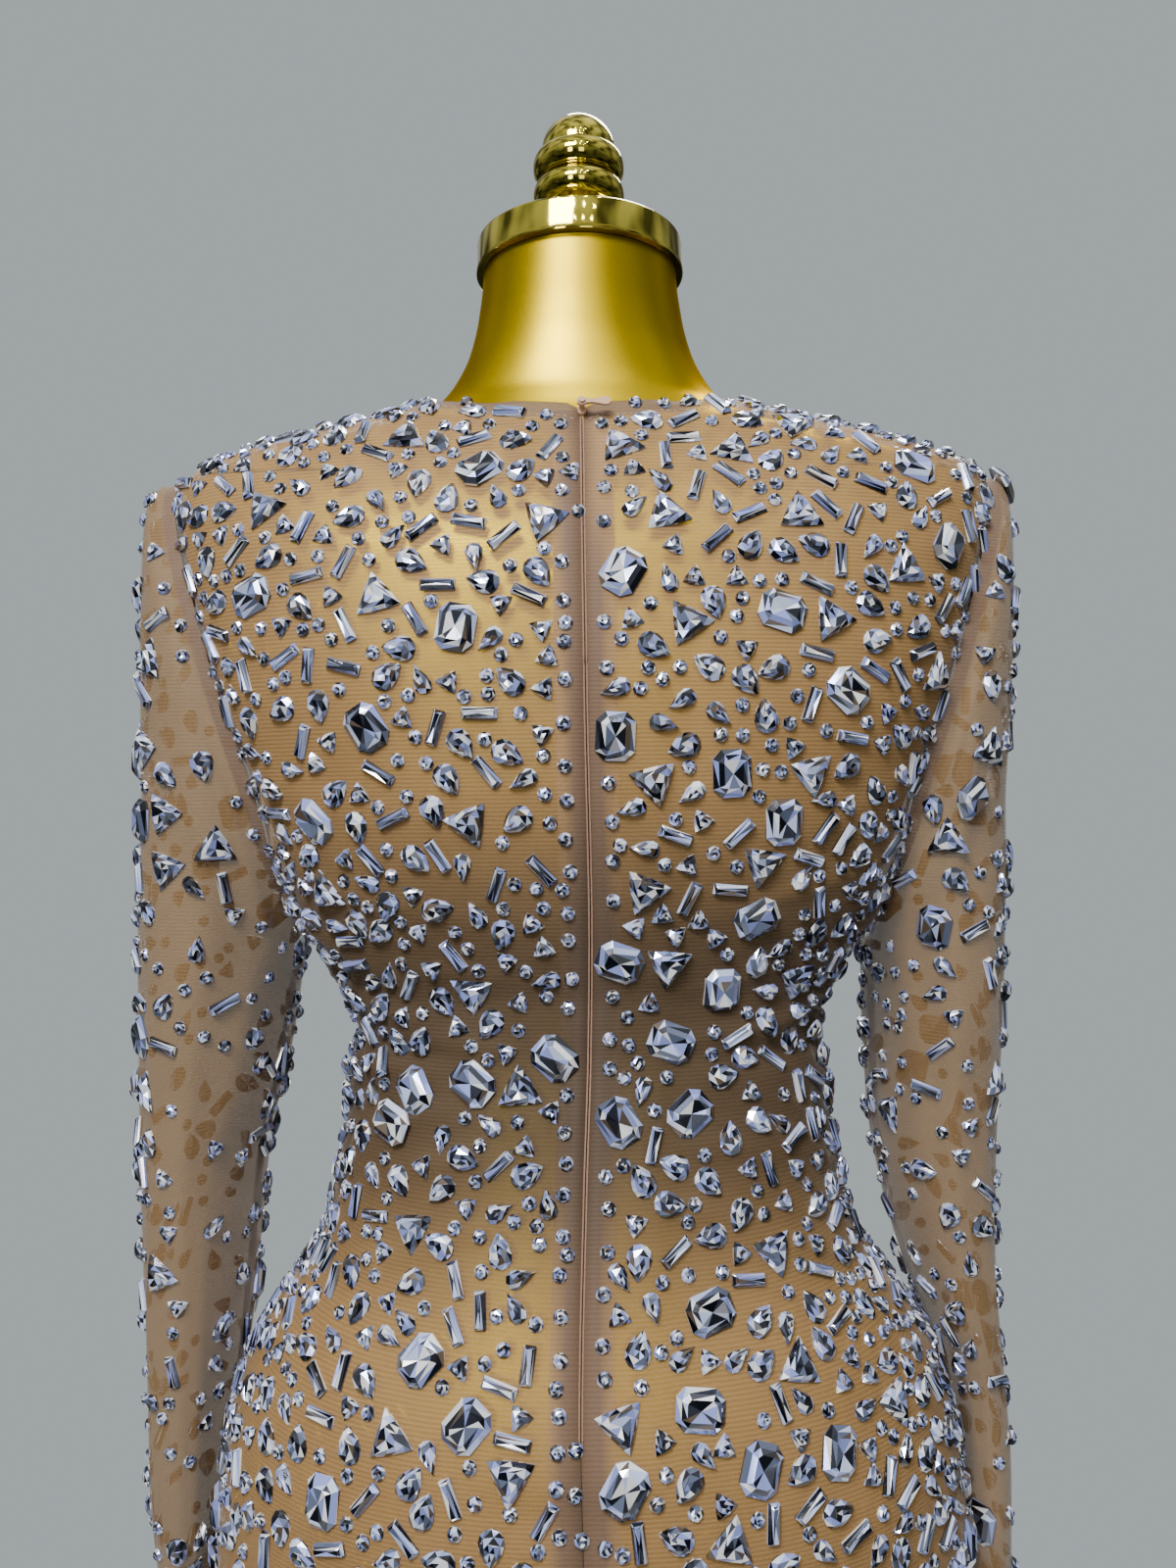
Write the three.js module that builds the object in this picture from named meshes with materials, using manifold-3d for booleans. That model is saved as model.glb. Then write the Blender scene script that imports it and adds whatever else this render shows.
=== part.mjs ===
// A fitted long-sleeved party dress of sheer stretch mesh, set with large glass stones and closed by
// a centre-back zip, standing on a smooth limbless dress form with a neck cap, a turned finial, a pole
// and a round base. Millimetres, +Z up, the floor at Z = 0. The back of the dress faces -Y and the
// wearer's right is +X. Heights called "above" are measured from the waist line.

import * as THREE from 'three';
import { mergeVertices } from 'three/addons/utils/BufferGeometryUtils.js';
import Module from 'manifold-3d';

const wasm = await Module();
wasm.setup();

// ---------------------------------------------------------------- driving dimensions

const WAIST_HEIGHT = 1084;        // waist line above the floor
const CLOTH = 1.2;                // wall thickness of the mesh panels
const FORM_INSET = 2.9;           // the form's skin lies this far inside the cloth
const ARMHOLE_GAP = 0.8;          // the sleeves start this far outside the panels' edges
const HALF_SEAM = 0.15;           // each panel stops this far short of its seam line

const HEM = -584;                 // levels above the waist
const ARMPIT = 63;
const SHOULDER_TIP = 267;
const NECK_SIDE = 303;
const NECK_HALF_WIDTH = 78;
const BACK_NECK_DROP = 17;
const FRONT_NECK_DROP = 52;
const BACK_TIP_ROW = 250;         // centre level of the grid row that ends at the shoulder tip
const FRONT_TIP_ROW = 239;
const ARMHOLE_BACK = 50;          // half depth of the armhole behind and before the side line
const ARMHOLE_FRONT = 46;
const FORM_BOTTOM = -330;

const ZIP_END = -148;             // level of the zip's lower end
const ZIP_TOP = 284;
const ZIP_TAPE_WIDTH = 13;
const ZIP_TAPE_ROWS = 18;
const ZIP_HALF_GAP = 0.6;         // each tape starts this far from the seam line
const ZIP_TAPE_THICKNESS = 1.0;
const ZIP_TAPE_OFFSET = -0.5;     // the tapes' inner face, from the fitted surface
const ZIP_LIFT = 2.2;             // the back panels stand this much prouder over the zip tapes
const ZIP_LIFT_FLAT = 27;         // half width of that raised strip
const ZIP_LIFT_FADE = 16;
const ZIP_LIFT_START = -178;      // level where the raised strip begins, below the zip's end
const ZIP_LIFT_RUN = 20;          // height over which it rises

const STONE_HEIGHT = 3.8;
const STONE_SINK = 0.75;          // depth of a stone's foot below the cloth's outer face
const STONE_SEARCH = 20;          // a stone's seat is looked for from this far outside the cloth

// The zip's slider, its post and the drop-shaped pull that turns on it. "stand" is the height of the
// pull above the slider's foot, and "waist" where its slim neck is, as a part of its length.
const SLIDER_LEVEL = 281;
const SLIDER = { clear: 0.7, width: 3.6, height: 6.4, thickness: 1.6, taper: 1, post: 0.75, head: 1.55,
  headThickness: 0.8, sides: 16 };
const PULL = { length: 15, width: 4.4, eye: 2.2, eyeOpening: 35, hole: 1.1, thickness: 1.3, stand: 5,
  neck: 0.95, waist: 0.45, endSweep: 110, curveSteps: 10 };

// Cross sections of the body of the dress: half width, depth behind and before the side line, and
// the superellipse power that squares the section.
const BODY_SECTIONS = [
  { above: -584, half: 166, back: 104, front: 98, power: 2.2 },
  { above: -450, half: 176, back: 112, front: 103, power: 2.2 },
  { above: -314, half: 182, back: 121, front: 106, power: 2.2 },
  { above: -248, half: 182, back: 126, front: 105, power: 2.2 },
  { above: -200, half: 178, back: 126, front: 102, power: 2.2 },
  { above: -167, half: 170, back: 122, front: 98, power: 2.2 },
  { above: -147, half: 160, back: 117, front: 95, power: 2.25 },
  { above: -132, half: 150, back: 112, front: 92, power: 2.3 },
  { above: -118, half: 140, back: 107, front: 90, power: 2.3 },
  { above: -104, half: 131, back: 102, front: 88, power: 2.3 },
  { above: -72, half: 122, back: 92, front: 84, power: 2.3 },
  { above: -31, half: 116, back: 82, front: 82, power: 2.3 },
  { above: 0, half: 112.5, back: 77, front: 81, power: 2.3 },
  { above: 19, half: 117, back: 77, front: 83, power: 2.3 },
  { above: 36, half: 128, back: 80, front: 87, power: 2.35 },
  { above: 63, half: 145, back: 86, front: 93, power: 2.4 },
  { above: 116, half: 163, back: 95, front: 101, power: 2.5 },
  { above: 166, half: 181, back: 98, front: 98, power: 2.6 },
  { above: 216, half: 194, back: 92, front: 84, power: 2.6 },
  { above: 246, half: 199, back: 82, front: 71, power: 2.5 },
  { above: 260, half: 199, back: 74, front: 64, power: 2.4 },
  { above: 267, half: 194, back: 70, front: 61, power: 2.35 },
  { above: 274, half: 180, back: 66, front: 58, power: 2.3 },
  { above: 280, half: 160, back: 63, front: 56, power: 2.2 },
  { above: 286, half: 136, back: 60.5, front: 54, power: 2.1 },
  { above: 291, half: 112, back: 58.5, front: 53, power: 2.05 },
  { above: 296, half: 94, back: 57, front: 52, power: 2 },
  { above: 303, half: 78, back: 55, front: 51, power: 2 },
  { above: 316, half: 66, back: 53, front: 50, power: 2 },
  { above: 331, half: 58.5, back: 51.5, front: 50, power: 2 },
  { above: 349, half: 54, back: 51, front: 50, power: 2 },
  { above: 371, half: 51.5, back: 51, front: 50.5, power: 2 },
];

const BUST = { above: 124, across: 72, depth: 15, width: 46, height: 44 };

// The centre-back seam wanders a little from the middle of the form.
const SEAM_DRIFT = [
  { above: -584, x: 0 },
  { above: -260, x: -2 },
  { above: -148, x: -4 },
  { above: -60, x: -1.5 },
  { above: 0, x: 1 },
  { above: 60, x: 2 },
  { above: 150, x: 1 },
  { above: 303, x: 0.5 },
];

// Levels of the panels' grid rows: the skirt and waist, then the armhole, then the shoulder seam.
const SKIRT_ROWS = [-584, -510, -430, -350, -290, -245, -206, -178, -156, -136, -116, -96, -74, -55, -37,
  -20, -4, 12, 28, 45, 63];
const ARMHOLE_STEPS = 8;
const SHOULDER_ROWS = [273, 279, 285, 291, 297, 303];
// Columns of half a panel, from its centre to its side edge, closer where the section turns.
const ACROSS = [0, 0.15, 0.3, 0.45, 0.59, 0.72, 0.83, 0.92, 1];
const HALF_PANEL_COLUMNS = ACROSS.length - 1;

// Creases pressed out of the cloth round the waist: where each is centred, in degrees from the
// centre back, its half length, how far it climbs towards the side, its half width and its depth.
const WAIST_CREASES = [
  { turn: 62, above: 42, reach: 30, climb: 26, width: 9, depth: 2.2 },
  { turn: 58, above: 12, reach: 34, climb: 14, width: 9, depth: 2.4 },
  { turn: 52, above: -18, reach: 38, climb: -6, width: 9, depth: 2.2 },
  { turn: 58, above: -50, reach: 32, climb: -20, width: 10, depth: 1.8 },
  { turn: -60, above: 46, reach: 30, climb: 24, width: 9, depth: 2.2 },
  { turn: -54, above: 16, reach: 36, climb: 12, width: 9, depth: 2.4 },
  { turn: -50, above: -14, reach: 36, climb: -8, width: 9, depth: 2.2 },
  { turn: -56, above: -46, reach: 30, climb: -22, width: 10, depth: 1.8 },
  { turn: 122, above: 26, reach: 34, climb: 16, width: 10, depth: 2 },
  { turn: 128, above: -20, reach: 36, climb: -10, width: 10, depth: 2 },
  { turn: -124, above: 22, reach: 34, climb: 14, width: 10, depth: 2 },
  { turn: -126, above: -24, reach: 36, climb: -12, width: 10, depth: 2 },
];

// Rings of the empty sleeves: the outermost and innermost point of each ring, its half depth and
// how far forward its centre lies. The first ring is the armhole itself.
const LEFT_SLEEVE = [
  { outX: 208, outAbove: 267, inX: 148.5, inAbove: 57, depth: 50, forward: 1 },
  { outX: 214.5, outAbove: 261, inX: 149, inAbove: 52, depth: 53, forward: 3 },
  { outX: 217, outAbove: 247, inX: 149.5, inAbove: 47, depth: 55, forward: 6 },
  { outX: 218.5, outAbove: 224, inX: 150, inAbove: 42, depth: 57, forward: 10 },
  { outX: 220, outAbove: 194, inX: 150.5, inAbove: 37, depth: 58, forward: 14 },
  { outX: 221, outAbove: 160, inX: 151.5, inAbove: 32, depth: 58, forward: 18 },
  { outX: 222, outAbove: 122, inX: 153, inAbove: 26, depth: 57, forward: 21 },
  { outX: 223.5, outAbove: 82, inX: 155, inAbove: 18, depth: 56, forward: 22 },
  { outX: 224.5, outAbove: 44, inX: 157, inAbove: 6, depth: 55, forward: 23 },
  { outX: 225, outAbove: 6, inX: 160, inAbove: -12, depth: 54, forward: 24 },
  { outX: 225.5, outAbove: -30, inX: 165, inAbove: -38, depth: 52, forward: 25 },
  { outX: 226, outAbove: -66, inX: 173, inAbove: -68, depth: 50, forward: 26 },
  { outX: 226, outAbove: -110, inX: 178, inAbove: -110, depth: 48, forward: 27 },
  { outX: 225.5, outAbove: -154, inX: 183, inAbove: -154, depth: 46, forward: 28 },
  { outX: 225, outAbove: -198, inX: 188, inAbove: -198, depth: 44, forward: 29 },
  { outX: 225, outAbove: -240, inX: 192, inAbove: -240, depth: 42, forward: 30 },
  { outX: 223, outAbove: -282, inX: 194, inAbove: -282, depth: 38, forward: 30 },
  { outX: 221, outAbove: -324, inX: 194, inAbove: -324, depth: 35, forward: 30 },
];
const RIGHT_SLEEVE = [
  { outX: 206, outAbove: 266, inX: 148.5, inAbove: 57, depth: 50, forward: 1 },
  { outX: 210.5, outAbove: 259, inX: 149, inAbove: 52, depth: 53, forward: 3 },
  { outX: 212, outAbove: 246, inX: 149.2, inAbove: 47, depth: 55, forward: 6 },
  { outX: 212.5, outAbove: 224, inX: 149.4, inAbove: 42, depth: 57, forward: 10 },
  { outX: 212, outAbove: 194, inX: 149.5, inAbove: 37, depth: 58, forward: 14 },
  { outX: 211, outAbove: 160, inX: 149.5, inAbove: 32, depth: 58, forward: 18 },
  { outX: 210, outAbove: 122, inX: 149.5, inAbove: 26, depth: 57, forward: 21 },
  { outX: 210, outAbove: 82, inX: 150, inAbove: 18, depth: 56, forward: 22 },
  { outX: 209, outAbove: 44, inX: 150, inAbove: 6, depth: 55, forward: 23 },
  { outX: 208, outAbove: 6, inX: 150.5, inAbove: -12, depth: 54, forward: 24 },
  { outX: 207, outAbove: -30, inX: 151.5, inAbove: -38, depth: 52, forward: 26 },
  { outX: 206, outAbove: -66, inX: 153.5, inAbove: -68, depth: 50, forward: 28 },
  { outX: 205.5, outAbove: -104, inX: 161, inAbove: -108, depth: 49, forward: 30 },
  { outX: 206, outAbove: -140, inX: 172, inAbove: -146, depth: 49, forward: 32 },
  { outX: 207.5, outAbove: -178, inX: 184, inAbove: -182, depth: 49, forward: 34 },
  { outX: 212, outAbove: -228, inX: 186, inAbove: -230, depth: 48, forward: 34 },
  { outX: 213.5, outAbove: -276, inX: 184.5, inAbove: -276, depth: 44, forward: 32 },
  { outX: 214, outAbove: -324, inX: 184.5, inAbove: -324, depth: 40, forward: 30 },
];
const SLEEVE_COLUMNS = 16;
const SLEEVE_POWER = 2.3;         // squareness of the sleeve's rings, reached a few rings down

// Long soft folds down the sleeves: where each lies round the ring (0 outside, 90 behind, 180
// inside, 270 before), how far it turns on its way down, and the rings between which it shows.
const SLEEVE_FOLDS = [
  { around: 60, drift: 40, from: 2, to: 15, width: 24, depth: 3 },
  { around: 118, drift: -30, from: 3, to: 11, width: 22, depth: 3.4 },
  { around: 20, drift: 16, from: 5, to: 17, width: 20, depth: 2.2 },
  { around: 300, drift: -40, from: 2, to: 15, width: 24, depth: 3 },
  { around: 242, drift: 30, from: 3, to: 12, width: 22, depth: 3.2 },
];

// The large stones of the back, each with its kind, its place and its turn in degrees.
const BACK_STONES = [
  { kind: 'triangle', x: -78, above: 271, turn: 115 },
  { kind: 'octagon', x: -44, above: 253, turn: -55 },
  { kind: 'triangle', x: -140, above: 239, turn: 37 },
  { kind: 'triangle', x: -16, above: 227, turn: 45 },
  { kind: 'octagon', x: -145, above: 200, turn: -70 },
  { kind: 'triangle', x: -87, above: 196, turn: 13 },
  { kind: 'octagon', x: -53, above: 182, turn: -10 },
  { kind: 'octagon', x: -92, above: 141, turn: 30 },
  { kind: 'triangle', x: -49, above: 100, turn: 82 },
  { kind: 'octagon', x: -119, above: 101, turn: 40 },
  { kind: 'triangle', x: -115, above: 69, turn: 5 },
  { kind: 'triangle', x: -50, above: 25, turn: 58 },
  { kind: 'octagon', x: -50, above: -15, turn: 51 },
  { kind: 'octagon', x: -14, above: -3, turn: 47 },
  { kind: 'triangle', x: -29, above: -17, turn: 4 },
  { kind: 'octagon', x: -86, above: -35, turn: 70 },
  { kind: 'octagon', x: -76, above: -20, turn: 35 },
  { kind: 'triangle', x: -76, above: -77, turn: 68 },
  { kind: 'octagon', x: -70, above: -123, turn: -40 },
  { kind: 'octagon', x: -50, above: -143, turn: -40 },
  { kind: 'triangle', x: -82, above: -151, turn: 18 },
  { kind: 'triangle', x: -32, above: -159, turn: 58 },
  { kind: 'octagon', x: -111, above: -180, turn: 0 },
  { kind: 'triangle', x: -88, above: -208, turn: 40 },
  { kind: 'triangle', x: 17, above: 262, turn: 23 },
  { kind: 'triangle', x: 67, above: 262, turn: 105 },
  { kind: 'triangle', x: 36, above: 230, turn: 14 },
  { kind: 'triangle', x: 94, above: 231, turn: 1 },
  { kind: 'triangle', x: 96, above: 277, turn: 40 },
  { kind: 'octagon', x: 17, above: 204, turn: -32 },
  { kind: 'triangle', x: 44, above: 183, turn: 34 },
  { kind: 'octagon', x: 84, above: 188, turn: 72 },
  { kind: 'triangle', x: 106, above: 185, turn: 30 },
  { kind: 'triangle', x: 141, above: 209, turn: 4 },
  { kind: 'octagon', x: 151, above: 258, turn: 70 },
  { kind: 'octagon', x: 164, above: 221, turn: -35 },
  { kind: 'octagon', x: 113, above: 155, turn: 50 },
  { kind: 'triangle', x: 158, above: 163, turn: 5 },
  { kind: 'octagon', x: 13, above: 136, turn: -3 },
  { kind: 'triangle', x: 29, above: 117, turn: 73 },
  { kind: 'octagon', x: 62, above: 120, turn: 3 },
  { kind: 'triangle', x: 97, above: 120, turn: 71 },
  { kind: 'octagon', x: 85, above: 99, turn: 3 },
  { kind: 'triangle', x: 76, above: 81, turn: 51 },
  { kind: 'triangle', x: 25, above: 71, turn: 37 },
  { kind: 'octagon', x: 74, above: 57, turn: -65 },
  { kind: 'octagon', x: 14, above: 40, turn: 68 },
  { kind: 'triangle', x: 35, above: 38, turn: 54 },
  { kind: 'triangle', x: 93, above: 28, turn: 65 },
  { kind: 'octagon', x: 59, above: 25, turn: 0 },
  { kind: 'octagon', x: 36, above: 3, turn: 68 },
  { kind: 'octagon', x: 44, above: -28, turn: -52 },
  { kind: 'octagon', x: 13, above: -30, turn: 30 },
  { kind: 'triangle', x: 79, above: -87, turn: 68 },
  { kind: 'octagon', x: 50, above: -105, turn: -75 },
  { kind: 'triangle', x: 87, above: -129, turn: 106 },
  { kind: 'triangle', x: 12, above: -141, turn: 77 },
  { kind: 'octagon', x: 44, above: -138, turn: 82 },
  { kind: 'octagon', x: 13, above: -163, turn: -33 },
  { kind: 'triangle', x: 131, above: -154, turn: 72 },
  { kind: 'octagon', x: 68, above: -161, turn: -20 },
  { kind: 'octagon', x: 102, above: -162, turn: -15 },
  { kind: 'triangle', x: 55, above: -186, turn: 106 },
  { kind: 'octagon', x: 18, above: -202, turn: 88 },
];

// Elsewhere the large stones follow an even, never repeating sequence.
const SEQUENCE_STEP_X = 0.7548776662;
const SEQUENCE_STEP_Y = 0.5698402910;
const FRONT_STONES = 22;
const SKIRT_STONES = 14;
const SKIRT_STONES_TOP = -215;
const FRONT_STONES_TOP = 190;
const SKIRT_STONES_TURN = 78;     // they reach this many degrees either side of the centre back
const FRONT_STONES_TURN = 54;     // and these, either side of the centre front
const SKIRT_STONE_SPIN = 37;      // each stone is turned this much further than the one before
const FRONT_STONE_SPIN = 41;
const STONE_HEM_MARGIN = 22;      // stones keep this far above the hem
const STONE_SEAM_MARGIN = 13;     // and from the centre-back seam

// The large stones of each sleeve: the ring and the place round it, and the turn, in degrees.
const SLEEVE_STONES = [
  { kind: 'triangle', ring: 5, around: 112, turn: 0 },
  { kind: 'octagon', ring: 8, around: 262, turn: 53 },
  { kind: 'triangle', ring: 11, around: 53, turn: 106 },
  { kind: 'octagon', ring: 14, around: 204, turn: 159 },
];

// Outlines of the large stones: corners at "reach" times the size from the middle, the first at
// angle "first", the share of each side that is clipped, and the size of the table.
const STONE_KINDS = {
  triangle: { corners: 3, first: 90, reach: 0.6, width: 18.5, length: 18.5, cut: 0, table: 0.5 },
  octagon: { corners: 4, first: 45, reach: Math.SQRT1_2, width: 17, length: 20.5, cut: 0.27, table: 0.62 },
};

const NECK_TOP = 371;             // level where the neck meets its cap
const CAP = { radius: 51.3, height: 16.5, lip: 2.2, lipProud: 0.7 };
const FINIAL = { stem: 15.7, stemHeight: 16.5, dome: 18.6, domeBase: 47, height: 64, arcSteps: 5 };
const FINIAL_RINGS = [
  { centre: 24.5, reach: 6.8, groove: 18, radius: 23 },
  { centre: 38.5, reach: 7, groove: 18.5, radius: 23 },
];
const POLE = { radius: 14, flangeRadius: 38, flangeHeight: 8 };
const BASE = { radius: 175, edge: 7, height: 22, hub: 30 };
const LATHE_STEPS = 24;
const FORM_COLUMNS = 28;
const FIT = 0.3;                  // gap between seated pieces

// Levels of the form's rings, closer where the shoulder turns into the neck.
const FORM_BOTTOM_INSET = 11.9;   // the lowest ring is drawn in, which rounds the bottom edge
const FORM_LEVELS = [FORM_BOTTOM, -318, -270, -225, -185, -156, -130, -104, -78, -52, -28, -6, 16, 38, 63,
  90, 120, 150, 180, 208, 232, 250, 262, 270, 277, 283, 288.5, 293.5, 299, 306, 316, 330, 350, NECK_TOP];

// ---------------------------------------------------------------- materials

const material = (name, color, roughness, metalness) =>
  new THREE.MeshStandardMaterial({ name, color, roughness, metalness });
const MESH_CLOTH = material('mesh_cloth', 0xb4937c, 0.8, 0);
const TAPE = material('zip_tape', 0xb58a78, 0.85, 0);
const ENAMEL = material('enamel_beige', 0xc9a384, 0.35, 0.2);
const SATIN_GOLD = material('satin_gold', 0xb8912f, 0.38, 0.85);
const POLISHED_GOLD = material('polished_gold', 0x9c8a2c, 0.08, 1);

// ---------------------------------------------------------------- tables and sections

// Reads one column of a table whose rows are sorted by "above", with a smooth, overshoot-free curve.
function readTable(table, column, above) {
  const last = table.length - 1;
  if (above <= table[0].above) return table[0][column];
  if (above >= table[last].above) return table[last][column];
  let row = 0;
  while (table[row + 1].above < above) row += 1;
  const slope = (k) => (table[k + 1][column] - table[k][column]) / (table[k + 1].above - table[k].above);
  const tangent = (k) => {
    if (k === 0 || k === last) return 0;
    const before = slope(k - 1);
    const after = slope(k);
    return before * after <= 0 ? 0 : (2 * before * after) / (before + after);
  };
  const span = table[row + 1].above - table[row].above;
  const t = (above - table[row].above) / span;
  const rise = table[row + 1][column] - table[row][column];
  return table[row][column]
    + rise * t * t * (3 - 2 * t)
    + span * tangent(row) * t * (1 - t) * (1 - t)
    - span * tangent(row + 1) * t * t * (1 - t);
}

const body = (column, above) => readTable(BODY_SECTIONS, column, above);
const drift = (above) => readTable(SEAM_DRIFT, 'x', above);

// The fitted surface. "turn" runs round the section: 0 at the centre back, 90 degrees at +X, 180
// degrees at the centre front.
function bodyPoint(turn, above) {
  const power = body('power', above);
  const across = Math.sin(turn);
  const behind = Math.cos(turn);
  const scale = (Math.abs(across) ** power + Math.abs(behind) ** power) ** (-1 / power);
  const depth = behind > 0 ? body('back', above) : body('front', above);
  const point = new THREE.Vector3(body('half', above) * scale * across, -depth * scale * behind, 0);
  if (behind < 0) {
    const up = (above - BUST.above) / BUST.height;
    for (const side of [-1, 1]) {
      const out = (point.x - side * BUST.across) / BUST.width;
      point.y += BUST.depth * -behind * Math.exp(-out * out - up * up);
    }
  }
  point.z = WAIST_HEIGHT + above;
  return point;
}

function bodyNormal(turn, above) {
  const step = 0.01;
  const round = bodyPoint(turn + step, above).sub(bodyPoint(turn - step, above));
  const up = bodyPoint(turn, above + 1).sub(bodyPoint(turn, above - 1));
  return round.cross(up).normalize();
}

// The turn at which the section reaches a given depth behind (or before) the side line.
function turnAtDepth(above, depth, full) {
  const power = body('power', above);
  return Math.atan(Math.max(0, (full / depth) ** power - 1) ** (1 / power));
}

// The turn at which the back of the section reaches a given distance from the middle.
function turnAcross(above, x) {
  const power = body('power', above);
  const reach = Math.max(Math.abs(x), 1e-6);
  const turn = Math.PI / 2 - Math.atan(((body('half', above) / reach) ** power - 1) ** (1 / power));
  return Math.sign(x) * turn;
}

const fade = (t) => {
  const s = Math.min(1, Math.max(0, t));
  return s * s * (3 - 2 * s);
};

const degrees = (value) => (value * Math.PI) / 180;

// How far the cloth stands off the fitted surface: waist creases, and the strip over the zip.
function clothLift(turn, above) {
  let lift = 0;
  for (const crease of WAIST_CREASES) {
    const along = (turn - degrees(crease.turn)) / degrees(crease.reach);
    if (Math.abs(along) < 1) {
      const line = crease.above + crease.climb * along * Math.sign(crease.turn);
      const off = (above - line) / crease.width;
      lift += crease.depth * (1 - along * along) * Math.exp(-off * off);
    }
  }
  const x = bodyPoint(turn, above).x;
  if (Math.cos(turn) > 0) {
    const beyond = (Math.abs(x - drift(above)) - ZIP_LIFT_FLAT) / ZIP_LIFT_FADE;
    const along = fade((above - ZIP_LIFT_START) / ZIP_LIFT_RUN);
    lift = Math.max(lift, ZIP_LIFT * (1 - fade(beyond)) * along);
  }
  return lift;
}

function clothPoint(turn, above, offset) {
  const normal = bodyNormal(turn, above);
  return bodyPoint(turn, above).addScaledVector(normal, clothLift(turn, above) + offset);
}

// ---------------------------------------------------------------- solids from grids

// A closed wall between an inner and an outer grid of points, both read as grid(row, column).
// Each cell is split along its shorter diagonal.
function wallGeometry(rows, columns, inner, outer, closed) {
  const across = closed ? columns : columns + 1;
  const positions = [];
  const faces = [];
  for (const grid of [inner, outer]) {
    for (let i = 0; i <= rows; i += 1) {
      for (let j = 0; j < across; j += 1) positions.push(...grid(i, j).toArray());
    }
  }
  const shift = (rows + 1) * across;
  const at = (layer, i, j) => layer * shift + i * across + (j % across);
  const quad = (a, b, c, d) => faces.push(a, b, c, a, c, d);
  const apart = (a, b) => Math.hypot(...[0, 1, 2].map((k) => positions[3 * a + k] - positions[3 * b + k]));
  for (let j = 0; j < columns; j += 1) {
    for (let i = 0; i < rows; i += 1) {
      const cell = [[i, j], [i, j + 1], [i + 1, j + 1], [i + 1, j]];
      const [a, b, c, d] = cell.map(([row, column]) => at(1, row, column));
      if (apart(a, c) > apart(b, d)) cell.push(cell.shift());
      quad(...cell.map(([row, column]) => at(1, row, column)));
      const [p, q, r, s] = cell.map(([row, column]) => at(0, row, column));
      quad(p, s, r, q);
    }
    quad(at(0, 0, j), at(0, 0, j + 1), at(1, 0, j + 1), at(1, 0, j));
    quad(at(0, rows, j), at(1, rows, j), at(1, rows, j + 1), at(0, rows, j + 1));
  }
  if (!closed) {
    for (let i = 0; i < rows; i += 1) {
      quad(at(0, i, 0), at(1, i, 0), at(1, i + 1, 0), at(0, i + 1, 0));
      quad(at(0, i, columns), at(0, i + 1, columns), at(1, i + 1, columns), at(1, i, columns));
    }
  }
  const geometry = new THREE.BufferGeometry();
  geometry.setAttribute('position', new THREE.Float32BufferAttribute(positions, 3));
  geometry.setIndex(faces);
  return geometry;
}

// A solid from stacked rings, closed by a flat fan at each end.
function stackGeometry(rings) {
  const across = rings[0].length;
  const positions = [];
  const faces = [];
  for (const ring of rings) for (const point of ring) positions.push(...point.toArray());
  for (let i = 0; i + 1 < rings.length; i += 1) {
    for (let j = 0; j < across; j += 1) {
      const a = i * across + j;
      const b = i * across + ((j + 1) % across);
      faces.push(a, b, b + across, a, b + across, a + across);
    }
  }
  const top = (rings.length - 1) * across;
  for (let j = 1; j + 1 < across; j += 1) {
    faces.push(0, j + 1, j);
    faces.push(top, top + j, top + j + 1);
  }
  const geometry = new THREE.BufferGeometry();
  geometry.setAttribute('position', new THREE.Float32BufferAttribute(positions, 3));
  geometry.setIndex(faces);
  return geometry;
}

function toManifold(geometry) {
  const bare = geometry.clone();
  bare.deleteAttribute('normal');
  bare.deleteAttribute('uv');
  const merged = mergeVertices(bare, 1e-4);
  return new wasm.Manifold(new wasm.Mesh({
    numProp: 3,
    vertProperties: new Float32Array(merged.attributes.position.array),
    triVerts: new Uint32Array(merged.index.array),
  }));
}

function fromManifold(manifold) {
  const mesh = manifold.getMesh();
  const geometry = new THREE.BufferGeometry();
  geometry.setAttribute('position', new THREE.BufferAttribute(new Float32Array(mesh.vertProperties), 3));
  geometry.setIndex(new THREE.BufferAttribute(new Uint32Array(mesh.triVerts), 1));
  return geometry;
}

// ---------------------------------------------------------------- large stones

// A low cut stone whose sides slope in to a flat table; a four-cornered one has clipped corners.
function stoneGeometry(kind) {
  const { corners, first, reach, width, length, cut, table } = STONE_KINDS[kind];
  const outline = [];
  for (let k = 0; k < corners; k += 1) {
    const angle = degrees(first + (360 * k) / corners);
    outline.push(new THREE.Vector2(Math.cos(angle) * reach * width, Math.sin(angle) * reach * length));
  }
  const clipped = outline.flatMap((here, k) => (cut === 0 ? [here] : [
    here.clone().lerp(outline[(k + corners - 1) % corners], cut),
    here.clone().lerp(outline[(k + 1) % corners], cut),
  ]));
  const layers = [[0, 1], [STONE_SINK + STONE_HEIGHT, table]];
  return stackGeometry(layers.map(([z, scale]) =>
    clipped.map((point) => new THREE.Vector3(point.x * scale, point.y * scale, z))));
}

const STONE_GEOMETRY = {
  triangle: stoneGeometry('triangle'),
  octagon: stoneGeometry('octagon'),
};

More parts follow.
